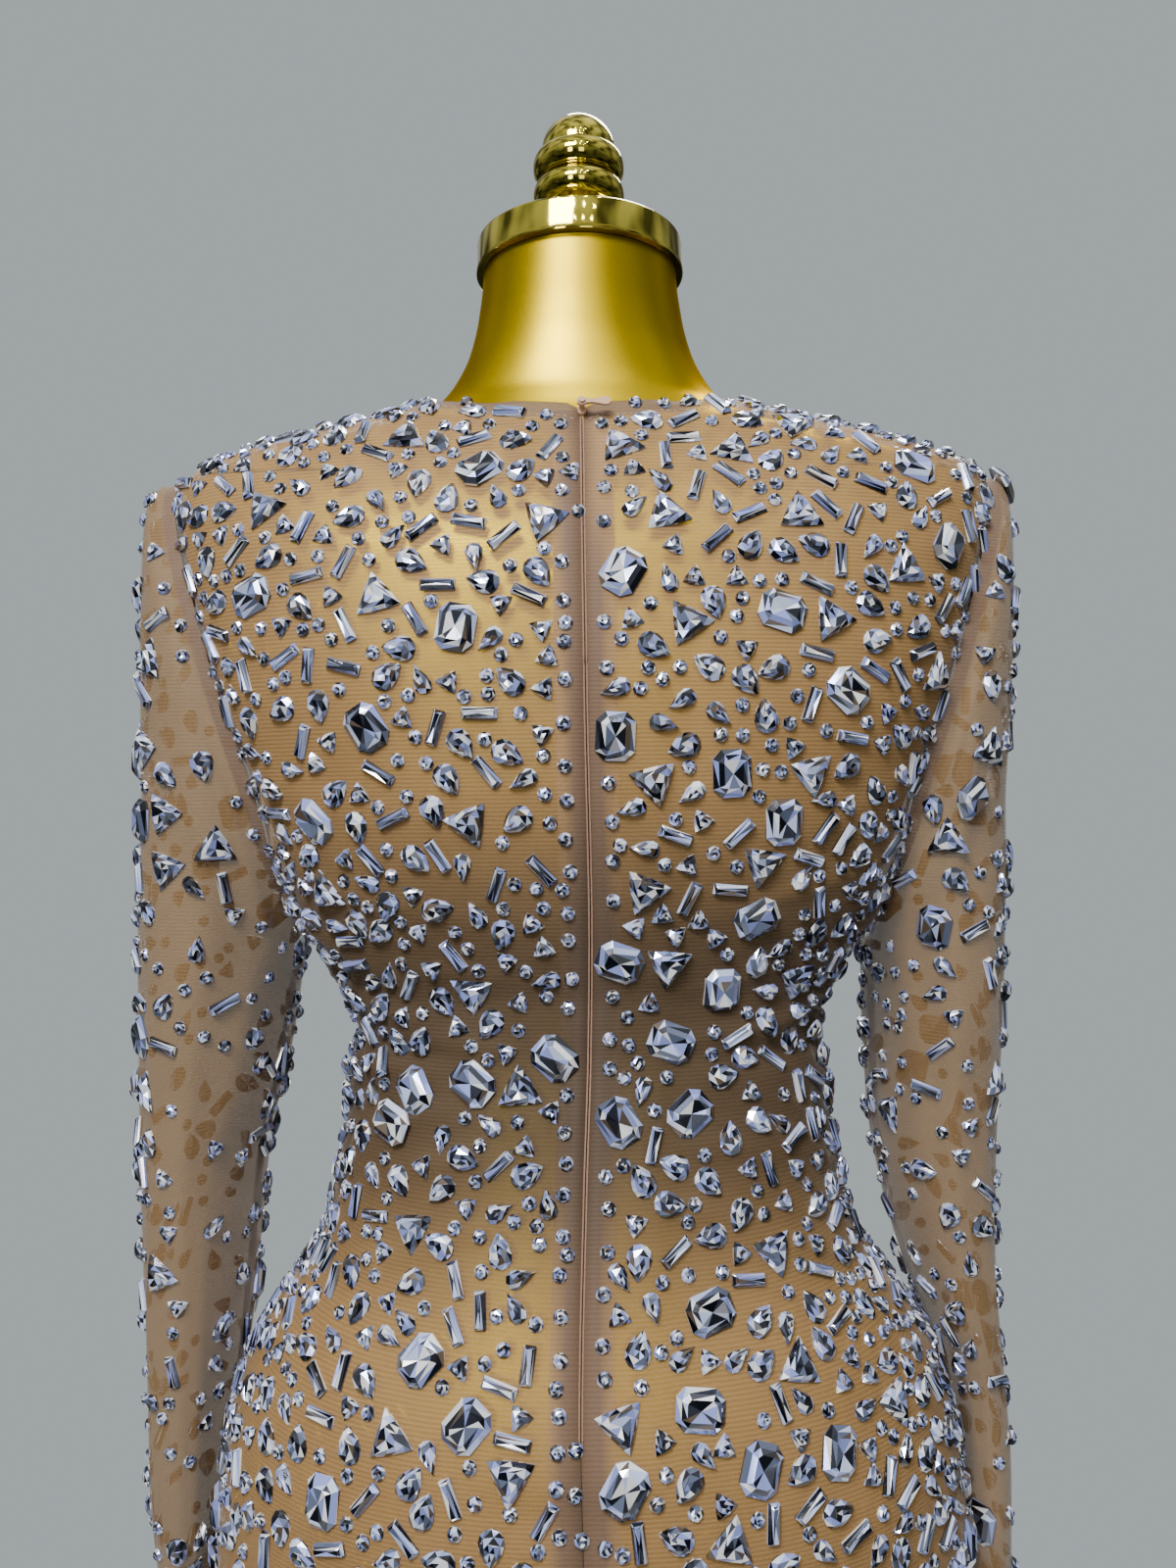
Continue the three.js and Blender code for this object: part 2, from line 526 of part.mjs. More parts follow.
// A stone seated on the panel's outer facet under a point of the smooth surface, turned in the
// plane of the cloth. Returns null where the panel has no cloth there.
function seatedStone(panel, kind, seat, normal, turn) {
  const from = seat.clone().addScaledVector(normal, STONE_SEARCH);
  const ray = new THREE.Raycaster(from, normal.clone().negate(), 0, 1.5 * STONE_SEARCH);
  const hit = ray.intersectObject(panel)[0];
  if (!hit) return null;
  const up = new THREE.Vector3(0, 0, 1);
  const right = up.clone().cross(normal).normalize();
  const top = normal.clone().cross(right);
  const frame = new THREE.Matrix4().makeBasis(right, top, normal);
  frame.multiply(new THREE.Matrix4().makeRotationZ(degrees(turn)));
  frame.setPosition(hit.point.addScaledVector(normal, -STONE_SINK));
  return toManifold(STONE_GEOMETRY[kind].clone().applyMatrix4(frame));
}

function withStones(geometry, seatStones) {
  const panel = new THREE.Mesh(geometry);
  let solid = toManifold(geometry);
  for (const stone of seatStones(panel)) {
    if (stone) solid = solid.add(stone);
  }
  return fromManifold(solid);
}

const LOWEST_STONE = HEM + STONE_HEM_MARGIN;

// Point k of the even sequence, as two fractions.
const sequencePoint = (k) => [(0.5 + k * SEQUENCE_STEP_X) % 1, (0.5 + k * SEQUENCE_STEP_Y) % 1];

const sequenceKind = (k) => (k % 2 === 0 ? 'triangle' : 'octagon');

function bodyStone(panel, kind, turnAngle, above, turn) {
  const seat = clothPoint(turnAngle, above, CLOTH);
  return seatedStone(panel, kind, seat, bodyNormal(turnAngle, above), turn);
}

function backStones(panel, side) {
  const stones = [];
  for (const stone of BACK_STONES) {
    if (Math.sign(stone.x) === side) {
      const place = turnAcross(stone.above, stone.x);
      stones.push(bodyStone(panel, stone.kind, place, stone.above, stone.turn));
    }
  }
  for (let k = 0; k < SKIRT_STONES; k += 1) {
    const [fx, fy] = sequencePoint(k);
    const turn = degrees(SKIRT_STONES_TURN * (2 * fx - 1));
    const above = LOWEST_STONE + (SKIRT_STONES_TOP - LOWEST_STONE) * fy;
    const fromSeam = Math.abs(bodyPoint(turn, above).x - drift(above));
    if (Math.sign(turn) === side && fromSeam > STONE_SEAM_MARGIN) {
      stones.push(bodyStone(panel, sequenceKind(k), turn, above, SKIRT_STONE_SPIN * k));
    }
  }
  return stones;
}

function frontStones(panel) {
  const stones = [];
  for (let k = 0; k < FRONT_STONES; k += 1) {
    const [fx, fy] = sequencePoint(k);
    const turn = Math.PI + degrees(FRONT_STONES_TURN * (2 * fx - 1));
    const above = LOWEST_STONE + (FRONT_STONES_TOP - LOWEST_STONE) * fy;
    stones.push(bodyStone(panel, sequenceKind(k + 1), turn, above, FRONT_STONE_SPIN * k));
  }
  return stones;
}

// ---------------------------------------------------------------- dress panels

// Levels of the side edge, row by row: skirt, armhole, shoulder seam.
const armholeLevel = (step) => {
  const middle = (ARMPIT + SHOULDER_TIP) / 2;
  return middle - ((SHOULDER_TIP - ARMPIT) / 2) * Math.cos((Math.PI * step) / ARMHOLE_STEPS);
};
const ARMHOLE_ROWS = Array.from({ length: ARMHOLE_STEPS }, (unused, k) => armholeLevel(k + 1));
const UPPER_ROWS = [...ARMHOLE_ROWS, ...SHOULDER_ROWS];
const PANEL_ROWS = SKIRT_ROWS.length - 1 + UPPER_ROWS.length;

// Depth of the armhole at a level, 0 outside it.
function armholeDepth(above, full) {
  const reach = (2 * above - ARMPIT - SHOULDER_TIP) / (SHOULDER_TIP - ARMPIT);
  return Math.abs(reach) < 1 ? full * Math.sqrt(1 - reach * reach) : 0;
}

// The turn of a panel's side edge: the side seam, the armhole or the shoulder seam.
function sideEdge(above, isBack) {
  const depth = Math.max(HALF_SEAM, armholeDepth(above, isBack ? ARMHOLE_BACK : ARMHOLE_FRONT));
  return turnAtDepth(above, depth, body(isBack ? 'back' : 'front', above));
}

// The neckline is a quarter of an oval seen from behind; this finds its level at a given turn.
function neckLevel(turn, drop) {
  let low = 0;
  let high = Math.PI / 2;
  for (let k = 0; k < 30; k += 1) {
    const sweep = (low + high) / 2;
    const above = NECK_SIDE - drop * Math.cos(sweep);
    const reach = Math.min(NECK_HALF_WIDTH * Math.sin(sweep), body('half', above) - 0.001);
    if (turnAcross(above, reach) < turn) low = sweep;
    else high = sweep;
  }
  return NECK_SIDE - drop * Math.cos(low);
}

// The level at which a row that meets the side edge at "level" crosses the centre line.
function centreLevel(level, neckCentre, tipRow) {
  if (level <= SHOULDER_TIP) {
    return ARMPIT + ((level - ARMPIT) * (tipRow - ARMPIT)) / (SHOULDER_TIP - ARMPIT);
  }
  return tipRow + ((level - SHOULDER_TIP) * (neckCentre - tipRow)) / (NECK_SIDE - SHOULDER_TIP);
}

// One half of a panel: row and column fractions become a turn (from the centre) and a level.
function halfPanel(row, across, isBack, centreTurn) {
  const lastSkirt = SKIRT_ROWS.length - 1;
  if (row <= lastSkirt) {
    const above = SKIRT_ROWS[row];
    const start = centreTurn(above);
    return [start + (sideEdge(above, isBack) - start) * across, above];
  }
  const drop = isBack ? BACK_NECK_DROP : FRONT_NECK_DROP;
  const level = UPPER_ROWS[row - lastSkirt - 1];
  const centreAbove = centreLevel(level, NECK_SIDE - drop, isBack ? BACK_TIP_ROW : FRONT_TIP_ROW);
  const up = (centreAbove - ARMPIT) / (NECK_SIDE - drop - ARMPIT);
  const neckStart = centreTurn(NECK_SIDE - drop);
  const neckTurn = neckStart + (sideEdge(NECK_SIDE, isBack) - neckStart) * across;
  const neckAbove = neckLevel(neckTurn, drop);
  const baseStart = centreTurn(ARMPIT);
  const baseTurn = baseStart + (sideEdge(ARMPIT, isBack) - baseStart) * across;
  const blend = (bottom, top, left, right, corners) =>
    (1 - up) * bottom + up * top + (1 - across) * left + across * right
    - (1 - across) * ((1 - up) * corners[0] + up * corners[1])
    - across * ((1 - up) * corners[2] + up * corners[3]);
  const turn = blend(baseTurn, neckTurn, centreTurn(centreAbove), sideEdge(level, isBack),
    [baseStart, neckStart, sideEdge(ARMPIT, isBack), sideEdge(NECK_SIDE, isBack)]);
  const above = blend(ARMPIT, neckAbove, centreAbove, level,
    [ARMPIT, NECK_SIDE - drop, ARMPIT, NECK_SIDE]);
  return [turn, above];
}

function backPanelGeometry(side) {
  const centreTurn = (above) => turnAcross(above, side * drift(above) + HALF_SEAM);
  const grid = (offset) => (row, column) => {
    const across = ACROSS[side > 0 ? column : HALF_PANEL_COLUMNS - column];
    const [turn, above] = halfPanel(row, across, true, centreTurn);
    return clothPoint(side * turn, above, offset);
  };
  return wallGeometry(PANEL_ROWS, HALF_PANEL_COLUMNS, grid(0), grid(CLOTH), false);
}

function frontPanelGeometry() {
  const grid = (offset) => (row, column) => {
    const half = column - HALF_PANEL_COLUMNS;
    const [turn, above] = halfPanel(row, ACROSS[Math.abs(half)], false, () => 0);
    return clothPoint(Math.PI + Math.sign(half) * turn, above, offset);
  };
  return wallGeometry(PANEL_ROWS, 2 * HALF_PANEL_COLUMNS, grid(0), grid(CLOTH), false);
}

// ---------------------------------------------------------------- sleeves

// The armhole seam, clear of the panels' edge, and the way its wall thickens there: outwards from
// the middle of the armhole.
function armholeRing(around) {
  const above = (ARMPIT + SHOULDER_TIP) / 2 + ((SHOULDER_TIP - ARMPIT) / 2) * Math.cos(around);
  const isBack = Math.sin(around) >= 0;
  const full = body(isBack ? 'back' : 'front', above);
  const depth = Math.max(HALF_SEAM, Math.abs(Math.sin(around)) * (isBack ? ARMHOLE_BACK : ARMHOLE_FRONT));
  const edge = turnAtDepth(above, depth, full);
  const turn = isBack ? edge : Math.PI - edge;
  const point = bodyPoint(turn, above);
  point.x += CLOTH * Math.max(0, bodyNormal(turn, above).x) + ARMHOLE_GAP;
  const rise = new THREE.Vector3(body('half', SHOULDER_TIP) - body('half', ARMPIT), 0, SHOULDER_TIP - ARMPIT);
  const normal = rise.normalize().multiplyScalar(Math.cos(around));
  normal.y = -Math.sin(around);
  return { point, normal: normal.normalize() };
}

function sleeveFold(ring, around) {
  let lift = 0;
  for (const fold of SLEEVE_FOLDS) {
    const along = (ring - fold.from) / (fold.to - fold.from);
    if (along > 0 && along < 1) {
      const centre = degrees(fold.around + fold.drift * along);
      const off = Math.atan2(Math.sin(around - centre), Math.cos(around - centre)) / degrees(fold.width);
      lift += fold.depth * Math.sin(Math.PI * along) * Math.exp(-off * off);
    }
  }
  return lift;
}

// A point of the sleeve's inner face for the +X side; ring 0 is the armhole.
function sleevePoint(table, ring, around) {
  if (ring === 0) return armholeRing(around).point;
  const { outX, outAbove, inX, inAbove, depth, forward } = table[ring - 1];
  const out = Math.cos(around);
  const behind = Math.sin(around);
  const power = 2 + (SLEEVE_POWER - 2) * fade((ring - 2) / 5);
  const scale = (Math.abs(out) ** power + Math.abs(behind) ** power) ** (-1 / power);
  const swell = sleeveFold(ring, around);
  const x = (outX + inX) / 2 + ((outX - inX) / 2 + swell) * scale * out;
  const above = (outAbove + inAbove) / 2 + ((outAbove - inAbove) / 2) * scale * out;
  return new THREE.Vector3(x, forward - (depth + swell) * scale * behind, WAIST_HEIGHT + above);
}

function sleeveNormal(table, ring, around) {
  if (ring === 0) return armholeRing(around).normal;
  const step = 0.02;
  const round = sleevePoint(table, ring, around + step).sub(sleevePoint(table, ring, around - step));
  const next = Math.min(ring + 1, table.length);
  const along = sleevePoint(table, next, around).sub(sleevePoint(table, ring - 1, around));
  return round.cross(along).normalize();
}

function sleeveSkin(table, side, ring, around, offset) {
  const point = sleevePoint(table, ring, around);
  point.addScaledVector(sleeveNormal(table, ring, around), offset);
  point.x *= side;
  return point;
}

const ringAngle = (column) => (2 * Math.PI * column) / SLEEVE_COLUMNS;

function sleeveGeometry(table, side) {
  const grid = (offset) => (ring, column) =>
    sleeveSkin(table, side, ring, ringAngle(side > 0 ? column : SLEEVE_COLUMNS - column), offset);
  return wallGeometry(table.length, SLEEVE_COLUMNS, grid(0), grid(CLOTH), true);
}

function sleeveStones(panel, table, side) {
  return SLEEVE_STONES.map(({ kind, ring, around, turn }) => {
    const seat = sleeveSkin(table, side, ring, degrees(around), CLOTH);
    const normal = sleeveNormal(table, ring, degrees(around));
    normal.x *= side;
    return seatedStone(panel, kind, seat, normal, turn);
  });
}

// ---------------------------------------------------------------- zip

function zipTapeGeometry(side) {
  const grid = (offset) => (row, column) => {
    const above = ZIP_END + ((ZIP_TOP - ZIP_END) * row) / ZIP_TAPE_ROWS;
    const near = side > 0 ? column : 1 - column;
    const reach = ZIP_HALF_GAP + (ZIP_TAPE_WIDTH - ZIP_HALF_GAP) * near;
    const turn = turnAcross(above, drift(above) + side * reach);
    return bodyPoint(turn, above).addScaledVector(bodyNormal(turn, above), offset);
  };
  const outer = grid(ZIP_TAPE_OFFSET + ZIP_TAPE_THICKNESS);
  return wallGeometry(ZIP_TAPE_ROWS, 1, grid(ZIP_TAPE_OFFSET), outer, false);
}

const SLIDER_TURN = turnAcross(SLIDER_LEVEL, drift(SLIDER_LEVEL));

// The slider's own frame: its foot is at the origin and its outward side is along the third axis.
function sliderFrame() {
  const normal = bodyNormal(SLIDER_TURN, SLIDER_LEVEL);
  normal.x = 0;
  normal.normalize();
  const right = new THREE.Vector3(1, 0, 0);
  const top = normal.clone().cross(right);
  const frame = new THREE.Matrix4().makeBasis(right, top, normal);
  frame.setPosition(clothPoint(SLIDER_TURN, SLIDER_LEVEL, CLOTH + SLIDER.clear));
  return frame;
}

function sliderGeometry() {
  const side = SLIDER.width / 2;
  const end = SLIDER.height / 2;
  const outline = new THREE.Shape();
  outline.moveTo(-side, SLIDER.taper - end);
  outline.lineTo(SLIDER.taper - side, -end);
  outline.lineTo(side - SLIDER.taper, -end);
  outline.lineTo(side, SLIDER.taper - end);
  outline.lineTo(side, end);
  outline.lineTo(-side, end);
  const plate = new THREE.ExtrudeGeometry(outline, { depth: SLIDER.thickness, bevelEnabled: false });
  const headTop = PULL.stand + PULL.thickness + FIT + SLIDER.headThickness;
  const post = new THREE.LatheGeometry([
    new THREE.Vector2(0, SLIDER.thickness / 2),
    new THREE.Vector2(SLIDER.head, SLIDER.thickness / 2),
    new THREE.Vector2(SLIDER.post, PULL.stand - FIT),
    new THREE.Vector2(SLIDER.post, headTop - SLIDER.headThickness),
    new THREE.Vector2(SLIDER.head, headTop - SLIDER.headThickness),
    new THREE.Vector2(SLIDER.head, headTop),
    new THREE.Vector2(0, headTop),
  ], SLIDER.sides).rotateX(Math.PI / 2);
  return fromManifold(toManifold(plate).add(toManifold(post))).applyMatrix4(sliderFrame());
}

// A drop-shaped pull: an eye round the slider's post, a slim neck and a round end.
function pullGeometry() {
  const end = PULL.width / 2;
  const centre = PULL.length - PULL.eye - end;
  const outline = new THREE.Shape();
  outline.absarc(0, 0, PULL.eye, degrees(PULL.eyeOpening), degrees(360 - PULL.eyeOpening), false);
  outline.lineTo(centre * PULL.waist, -PULL.neck);
  outline.absarc(centre, 0, end, degrees(-PULL.endSweep), degrees(PULL.endSweep), false);
  outline.lineTo(centre * PULL.waist, PULL.neck);
  const hole = new THREE.Path();
  hole.absarc(0, 0, PULL.hole, 0, 2 * Math.PI, true);
  outline.holes.push(hole);
  const plate = new THREE.ExtrudeGeometry(outline,
    { depth: PULL.thickness, bevelEnabled: false, curveSegments: PULL.curveSteps });
  return plate.translate(0, 0, PULL.stand).applyMatrix4(sliderFrame());
}

// ---------------------------------------------------------------- dress form

function formGeometry() {
  const rings = FORM_LEVELS.map((above) => {
    const ring = [];
    for (let j = 0; j < FORM_COLUMNS; j += 1) {
      const turn = (2 * Math.PI * j) / FORM_COLUMNS;
      const isEnd = above === FORM_BOTTOM || above === NECK_TOP;
      const inset = above === FORM_BOTTOM ? FORM_BOTTOM_INSET : FORM_INSET;
      const point = bodyPoint(turn, above).addScaledVector(bodyNormal(turn, above), -inset);
      if (isEnd) point.z = WAIST_HEIGHT + above;
      ring.push(point);
    }
    return ring;
  });
  return stackGeometry(rings);
}

const lathe = (profile) => new THREE.LatheGeometry(
  profile.map(([radius, height]) => new THREE.Vector2(radius, height)), LATHE_STEPS).rotateX(Math.PI / 2);

function capGeometry() {
  const { radius, height, lip, lipProud } = CAP;
  return lathe([
    [0, 0], [radius + lipProud - 0.8, 0], [radius + lipProud, 0.7], [radius + lipProud, lip - 0.4],
    [radius, lip], [radius, height - 2.4], [radius - 0.8, height - 0.7], [radius - 2.6, height], [0, height],
  ]);
}

// The bulging side of one of the finial's rings, from its lower groove to its upper one.
function ringArc({ centre, reach, groove, radius }) {
  const points = [];
  for (let k = 0; k <= FINIAL.arcSteps; k += 1) {
    const angle = -Math.PI / 2 + (Math.PI * k) / FINIAL.arcSteps;
    points.push([groove + (radius - groove) * Math.cos(angle), centre + reach * Math.sin(angle)]);
  }
  return points;
}

function finialGeometry() {
  const { stem, stemHeight, dome, domeBase, height, arcSteps } = FINIAL;
  const crown = [];
  for (let k = 0; k <= arcSteps; k += 1) {
    const angle = (Math.PI / 2) * (k / (arcSteps + 1));
    crown.push([dome * Math.cos(angle), domeBase + (height - domeBase) * Math.sin(angle)]);
  }
  const foot = [[0, 0], [stem, 0], [stem, stemHeight]];
  return lathe([...foot, ...FINIAL_RINGS.flatMap(ringArc), ...crown, [0, height]]);
}

function poleGeometry(length) {
  const { radius, flangeRadius, flangeHeight } = POLE;
  return lathe([
    [0, 0], [radius, 0], [radius, length - flangeHeight - 10], [radius + 3, length - flangeHeight - 4],
    [flangeRadius, length - flangeHeight + 1], [flangeRadius, length], [0, length],
  ]);
}

function baseGeometry() {
  const { radius, edge, height, hub } = BASE;
  return lathe([
    [0, 0], [radius - 1.5, 0], [radius, 1.5], [radius, edge - 2], [radius - 3, edge],
    [radius * 0.7, edge + 4], [radius * 0.35, edge + 8], [hub + 4, height - 3], [hub, height], [0, height],
  ]);
}

// ---------------------------------------------------------------- assembly

const dress = new THREE.Group();

function addPiece(name, geometry, finish, height = 0) {
  const mesh = new THREE.Mesh(geometry, finish);
  mesh.name = name;
  mesh.position.z = height;
  dress.add(mesh);
}

const formBottom = WAIST_HEIGHT + FORM_BOTTOM;
const capBottom = WAIST_HEIGHT + NECK_TOP + FIT;

addPiece('front', withStones(frontPanelGeometry(), frontStones), MESH_CLOTH);
addPiece('back_left', withStones(backPanelGeometry(-1), (panel) => backStones(panel, -1)), MESH_CLOTH);
addPiece('back_right', withStones(backPanelGeometry(1), (panel) => backStones(panel, 1)), MESH_CLOTH);
for (const [name, table, side] of [['sleeve_left', LEFT_SLEEVE, -1], ['sleeve_right', RIGHT_SLEEVE, 1]]) {
  const seatStones = (panel) => sleeveStones(panel, table, side);
  addPiece(name, withStones(sleeveGeometry(table, side), seatStones), MESH_CLOTH);
}
addPiece('zip_tape_left', zipTapeGeometry(-1), TAPE);
addPiece('zip_tape_right', zipTapeGeometry(1), TAPE);
addPiece('zip_slider', sliderGeometry(), ENAMEL);
addPiece('zip_pull', pullGeometry(), ENAMEL);
addPiece('form_torso', formGeometry(), SATIN_GOLD);
addPiece('neck_cap', capGeometry(), POLISHED_GOLD, capBottom);
addPiece('finial', finialGeometry(), POLISHED_GOLD, capBottom + CAP.height + FIT);
addPiece('pole', poleGeometry(formBottom - FIT - BASE.height - FIT), POLISHED_GOLD, BASE.height + FIT);
addPiece('base', baseGeometry(), POLISHED_GOLD);

export default dress;
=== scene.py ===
import math
from itertools import product

import bpy
import numpy as np
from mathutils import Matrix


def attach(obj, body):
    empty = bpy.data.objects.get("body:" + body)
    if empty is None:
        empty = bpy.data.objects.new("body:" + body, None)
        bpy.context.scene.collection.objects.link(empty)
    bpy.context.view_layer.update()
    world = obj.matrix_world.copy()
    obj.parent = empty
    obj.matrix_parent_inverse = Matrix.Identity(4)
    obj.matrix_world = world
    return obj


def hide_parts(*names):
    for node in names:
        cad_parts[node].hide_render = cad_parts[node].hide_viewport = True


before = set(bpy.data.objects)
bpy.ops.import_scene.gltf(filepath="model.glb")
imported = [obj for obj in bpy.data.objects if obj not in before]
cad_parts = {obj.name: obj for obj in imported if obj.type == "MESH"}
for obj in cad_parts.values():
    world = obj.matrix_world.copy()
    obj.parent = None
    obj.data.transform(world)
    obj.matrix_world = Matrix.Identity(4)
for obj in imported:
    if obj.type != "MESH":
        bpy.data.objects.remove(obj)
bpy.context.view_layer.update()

BODY = "dress_form"
RNG = np.random.default_rng(4319)

# The solids' own sizes, in millimetres; "above" is a height over the waist line.
WAIST_HEIGHT = 1084.0
CLOTH = 1.2
FORM_INSET = 2.9
ARMHOLE_GAP = 0.8
HALF_SEAM = 0.15
HEM, ARMPIT, SHOULDER_TIP, NECK_SIDE = -584.0, 63.0, 267.0, 303.0
NECK_HALF_WIDTH, BACK_NECK_DROP, FRONT_NECK_DROP = 78.0, 17.0, 52.0
BACK_TIP_ROW, FRONT_TIP_ROW = 250.0, 239.0
ARMHOLE_BACK, ARMHOLE_FRONT = 50.0, 46.0
FORM_BOTTOM, NECK_TOP = -330.0, 371.0
ZIP_END, ZIP_TOP = -148.0, 284.0
ZIP_LIFT, ZIP_LIFT_FLAT, ZIP_LIFT_FADE = 2.2, 27.0, 16.0
ZIP_LIFT_START, ZIP_LIFT_RUN = -178.0, 20.0
SLIDER_LEVEL = 281.0
FIT = 0.3
CORNER_DROP, CORNER_REACH = 4.5, 9.0
CAP_HEIGHT, BASE_HEIGHT = 16.5, 22
# The visual cloth runs from this far off the fitted surface out to CLOTH.
SHELL_INNER = 0.75

# above, half width, depth behind, depth before, superellipse power
SECTIONS = np.array([
    (-584, 166, 104, 98, 2.2), (-450, 176, 112, 103, 2.2), (-314, 182, 121, 106, 2.2),
    (-248, 182, 126, 105, 2.2), (-200, 178, 126, 102, 2.2), (-167, 170, 122, 98, 2.2),
    (-147, 160, 117, 95, 2.25), (-132, 150, 112, 92, 2.3), (-118, 140, 107, 90, 2.3),
    (-104, 131, 102, 88, 2.3), (-72, 122, 92, 84, 2.3), (-31, 116, 82, 82, 2.3),
    (0, 112.5, 77, 81, 2.3), (19, 117, 77, 83, 2.3), (36, 128, 80, 87, 2.35),
    (63, 145, 86, 93, 2.4), (116, 163, 95, 101, 2.5), (166, 181, 98, 98, 2.6),
    (216, 194, 92, 84, 2.6), (246, 199, 82, 71, 2.5), (260, 199, 74, 64, 2.4),
    (267, 194, 70, 61, 2.35), (274, 180, 66, 58, 2.3), (280, 160, 63, 56, 2.2),
    (286, 136, 60.5, 54, 2.1), (291, 112, 58.5, 53, 2.05), (296, 94, 57, 52, 2),
    (303, 78, 55, 51, 2), (316, 66, 53, 50, 2), (331, 58.5, 51.5, 50, 2),
    (349, 54, 51, 50, 2), (371, 51.5, 51, 50.5, 2)], float)
BUST = {"above": 124, "across": 72, "depth": 15, "width": 46, "height": 44}
SEAM_DRIFT = np.array([(-584, 0), (-260, -2), (-148, -4), (-60, -1.5), (0, 1), (60, 2),
                       (150, 1), (303, 0.5)], float)
ACROSS = [0, 0.15, 0.3, 0.45, 0.59, 0.72, 0.83, 0.92, 1]

# Creases: degrees from the centre back, above, half length in degrees, climb, half width, depth.
WAIST_CREASES = [
    (62, 42, 30, 26, 9, 2.2), (58, 12, 34, 14, 9, 2.4), (52, -18, 38, -6, 9, 2.2),
    (58, -50, 32, -20, 10, 1.8), (-60, 46, 30, 24, 9, 2.2), (-54, 16, 36, 12, 9, 2.4),
    (-50, -14, 36, -8, 9, 2.2), (-56, -46, 30, -22, 10, 1.8), (122, 26, 34, 16, 10, 2),
    (128, -20, 36, -10, 10, 2), (-124, 22, 34, 14, 10, 2), (-126, -24, 36, -12, 10, 2)]
FINE_DEPTH = 1.5
FINE_CREASES = [
    (70, 55, 22, 22, 4, 1.3), (75, 30, 17, 20, 3.5, 1.6), (66, 20, 26, 18, 3.5, 1.2),
    (72, 3, 21, 9, 3.4, 1.7), (58, -6, 28, 2, 4, -1), (68, -12, 24, -5, 3.2, 1.5),
    (74, -28, 18, -12, 3.6, 1.4), (55, -34, 25, -14, 4, 1.1), (64, -62, 22, -24, 4.5, 1.2),
    (40, 70, 20, 12, 5, 0.9), (34, 5, 22, 4, 4.5, 0.9), (30, -44, 24, -8, 5, 0.8),
    (24, 26, 16, 6, 4, 0.7), (18, -66, 15, -7, 4.5, 0.9), (46, -88, 18, -12, 5, 0.8),
    (70, 88, 16, 26, 5, 1), (78, 120, 12, 28, 6, 1.2), (48, 108, 17, 18, 6, 0.7),
    (-69, 58, 21, 20, 4, 1.4), (-76, 34, 16, 18, 3.5, 1.5), (-64, 24, 27, 16, 3.4, 1.3),
    (-73, 6, 20, 10, 3.6, 1.6), (-60, -3, 26, 1, 4, -0.9), (-66, -16, 25, -7, 3.2, 1.6),
    (-75, -31, 17, -12, 3.8, 1.3), (-53, -37, 24, -12, 4, 1.2), (-66, -66, 21, -22, 4.4, 1.1),
    (-38, 66, 22, 12, 5, 0.8), (-33, 2, 24, 3, 4.5, 1), (-28, -48, 22, -9, 5, 0.8),
    (-22, 32, 18, 6, 4, 0.7), (-17, -72, 14, -6, 4.5, 0.8), (-44, -92, 19, -14, 5, 0.9),
    (-71, 92, 15, 24, 5, 1.1), (-79, 116, 12, 30, 6, 1), (-46, 112, 18, 16, 6, 0.7),
    (112, 50, 22, 18, 4, 1.3), (106, 12, 18, 8, 3.6, 1.5), (118, -4, 28, -2, 4, 1),
    (110, -36, 20, -14, 4, 1.3), (138, 34, 22, 8, 5, 0.8), (150, -14, 24, -4, 5, 0.9),
    (134, -58, 20, -12, 5, 0.8), (104, 92, 14, 24, 5, 1.1), (160, 60, 18, 5, 6, 0.7),
    (-110, 48, 23, 17, 4, 1.4), (-105, 9, 17, 7, 3.6, 1.4), (-119, -8, 27, -3, 4, 1.1),
    (-112, -39, 21, -13, 4, 1.2), (-140, 30, 20, 8, 5, 0.9), (-152, -18, 22, -4, 5, 0.8),
    (-133, -62, 21, -12, 5, 0.9), (-103, 88, 14, 22, 5, 1), (-163, 56, 16, 5, 6, 0.7),
    (34, -356, 20, -12, 9, 1.2), (-42, -392, 24, 14, 10, 1.1), (84, -410, 18, 10, 9, 1.3),
    (-96, -368, 22, -12, 9, 1.2), (150, -380, 26, 9, 11, 1), (-158, -430, 20, -8, 10, 1.1)]

# out x, out above, in x, in above, half depth, forward
LEFT_SLEEVE = [
    (208, 267, 148.5, 57, 50, 1), (214.5, 261, 149, 52, 53, 3), (217, 247, 149.5, 47, 55, 6),
    (218.5, 224, 150, 42, 57, 10), (220, 194, 150.5, 37, 58, 14), (221, 160, 151.5, 32, 58, 18),
    (222, 122, 153, 26, 57, 21), (223.5, 82, 155, 18, 56, 22), (224.5, 44, 157, 6, 55, 23),
    (225, 6, 160, -12, 54, 24), (225.5, -30, 165, -38, 52, 25), (226, -66, 173, -68, 50, 26),
    (226, -110, 178, -110, 48, 27), (225.5, -154, 183, -154, 46, 28),
    (225, -198, 188, -198, 44, 29), (225, -240, 192, -240, 42, 30), (223, -282, 194, -282, 38, 30),
    (221, -324, 194, -324, 35, 30)]
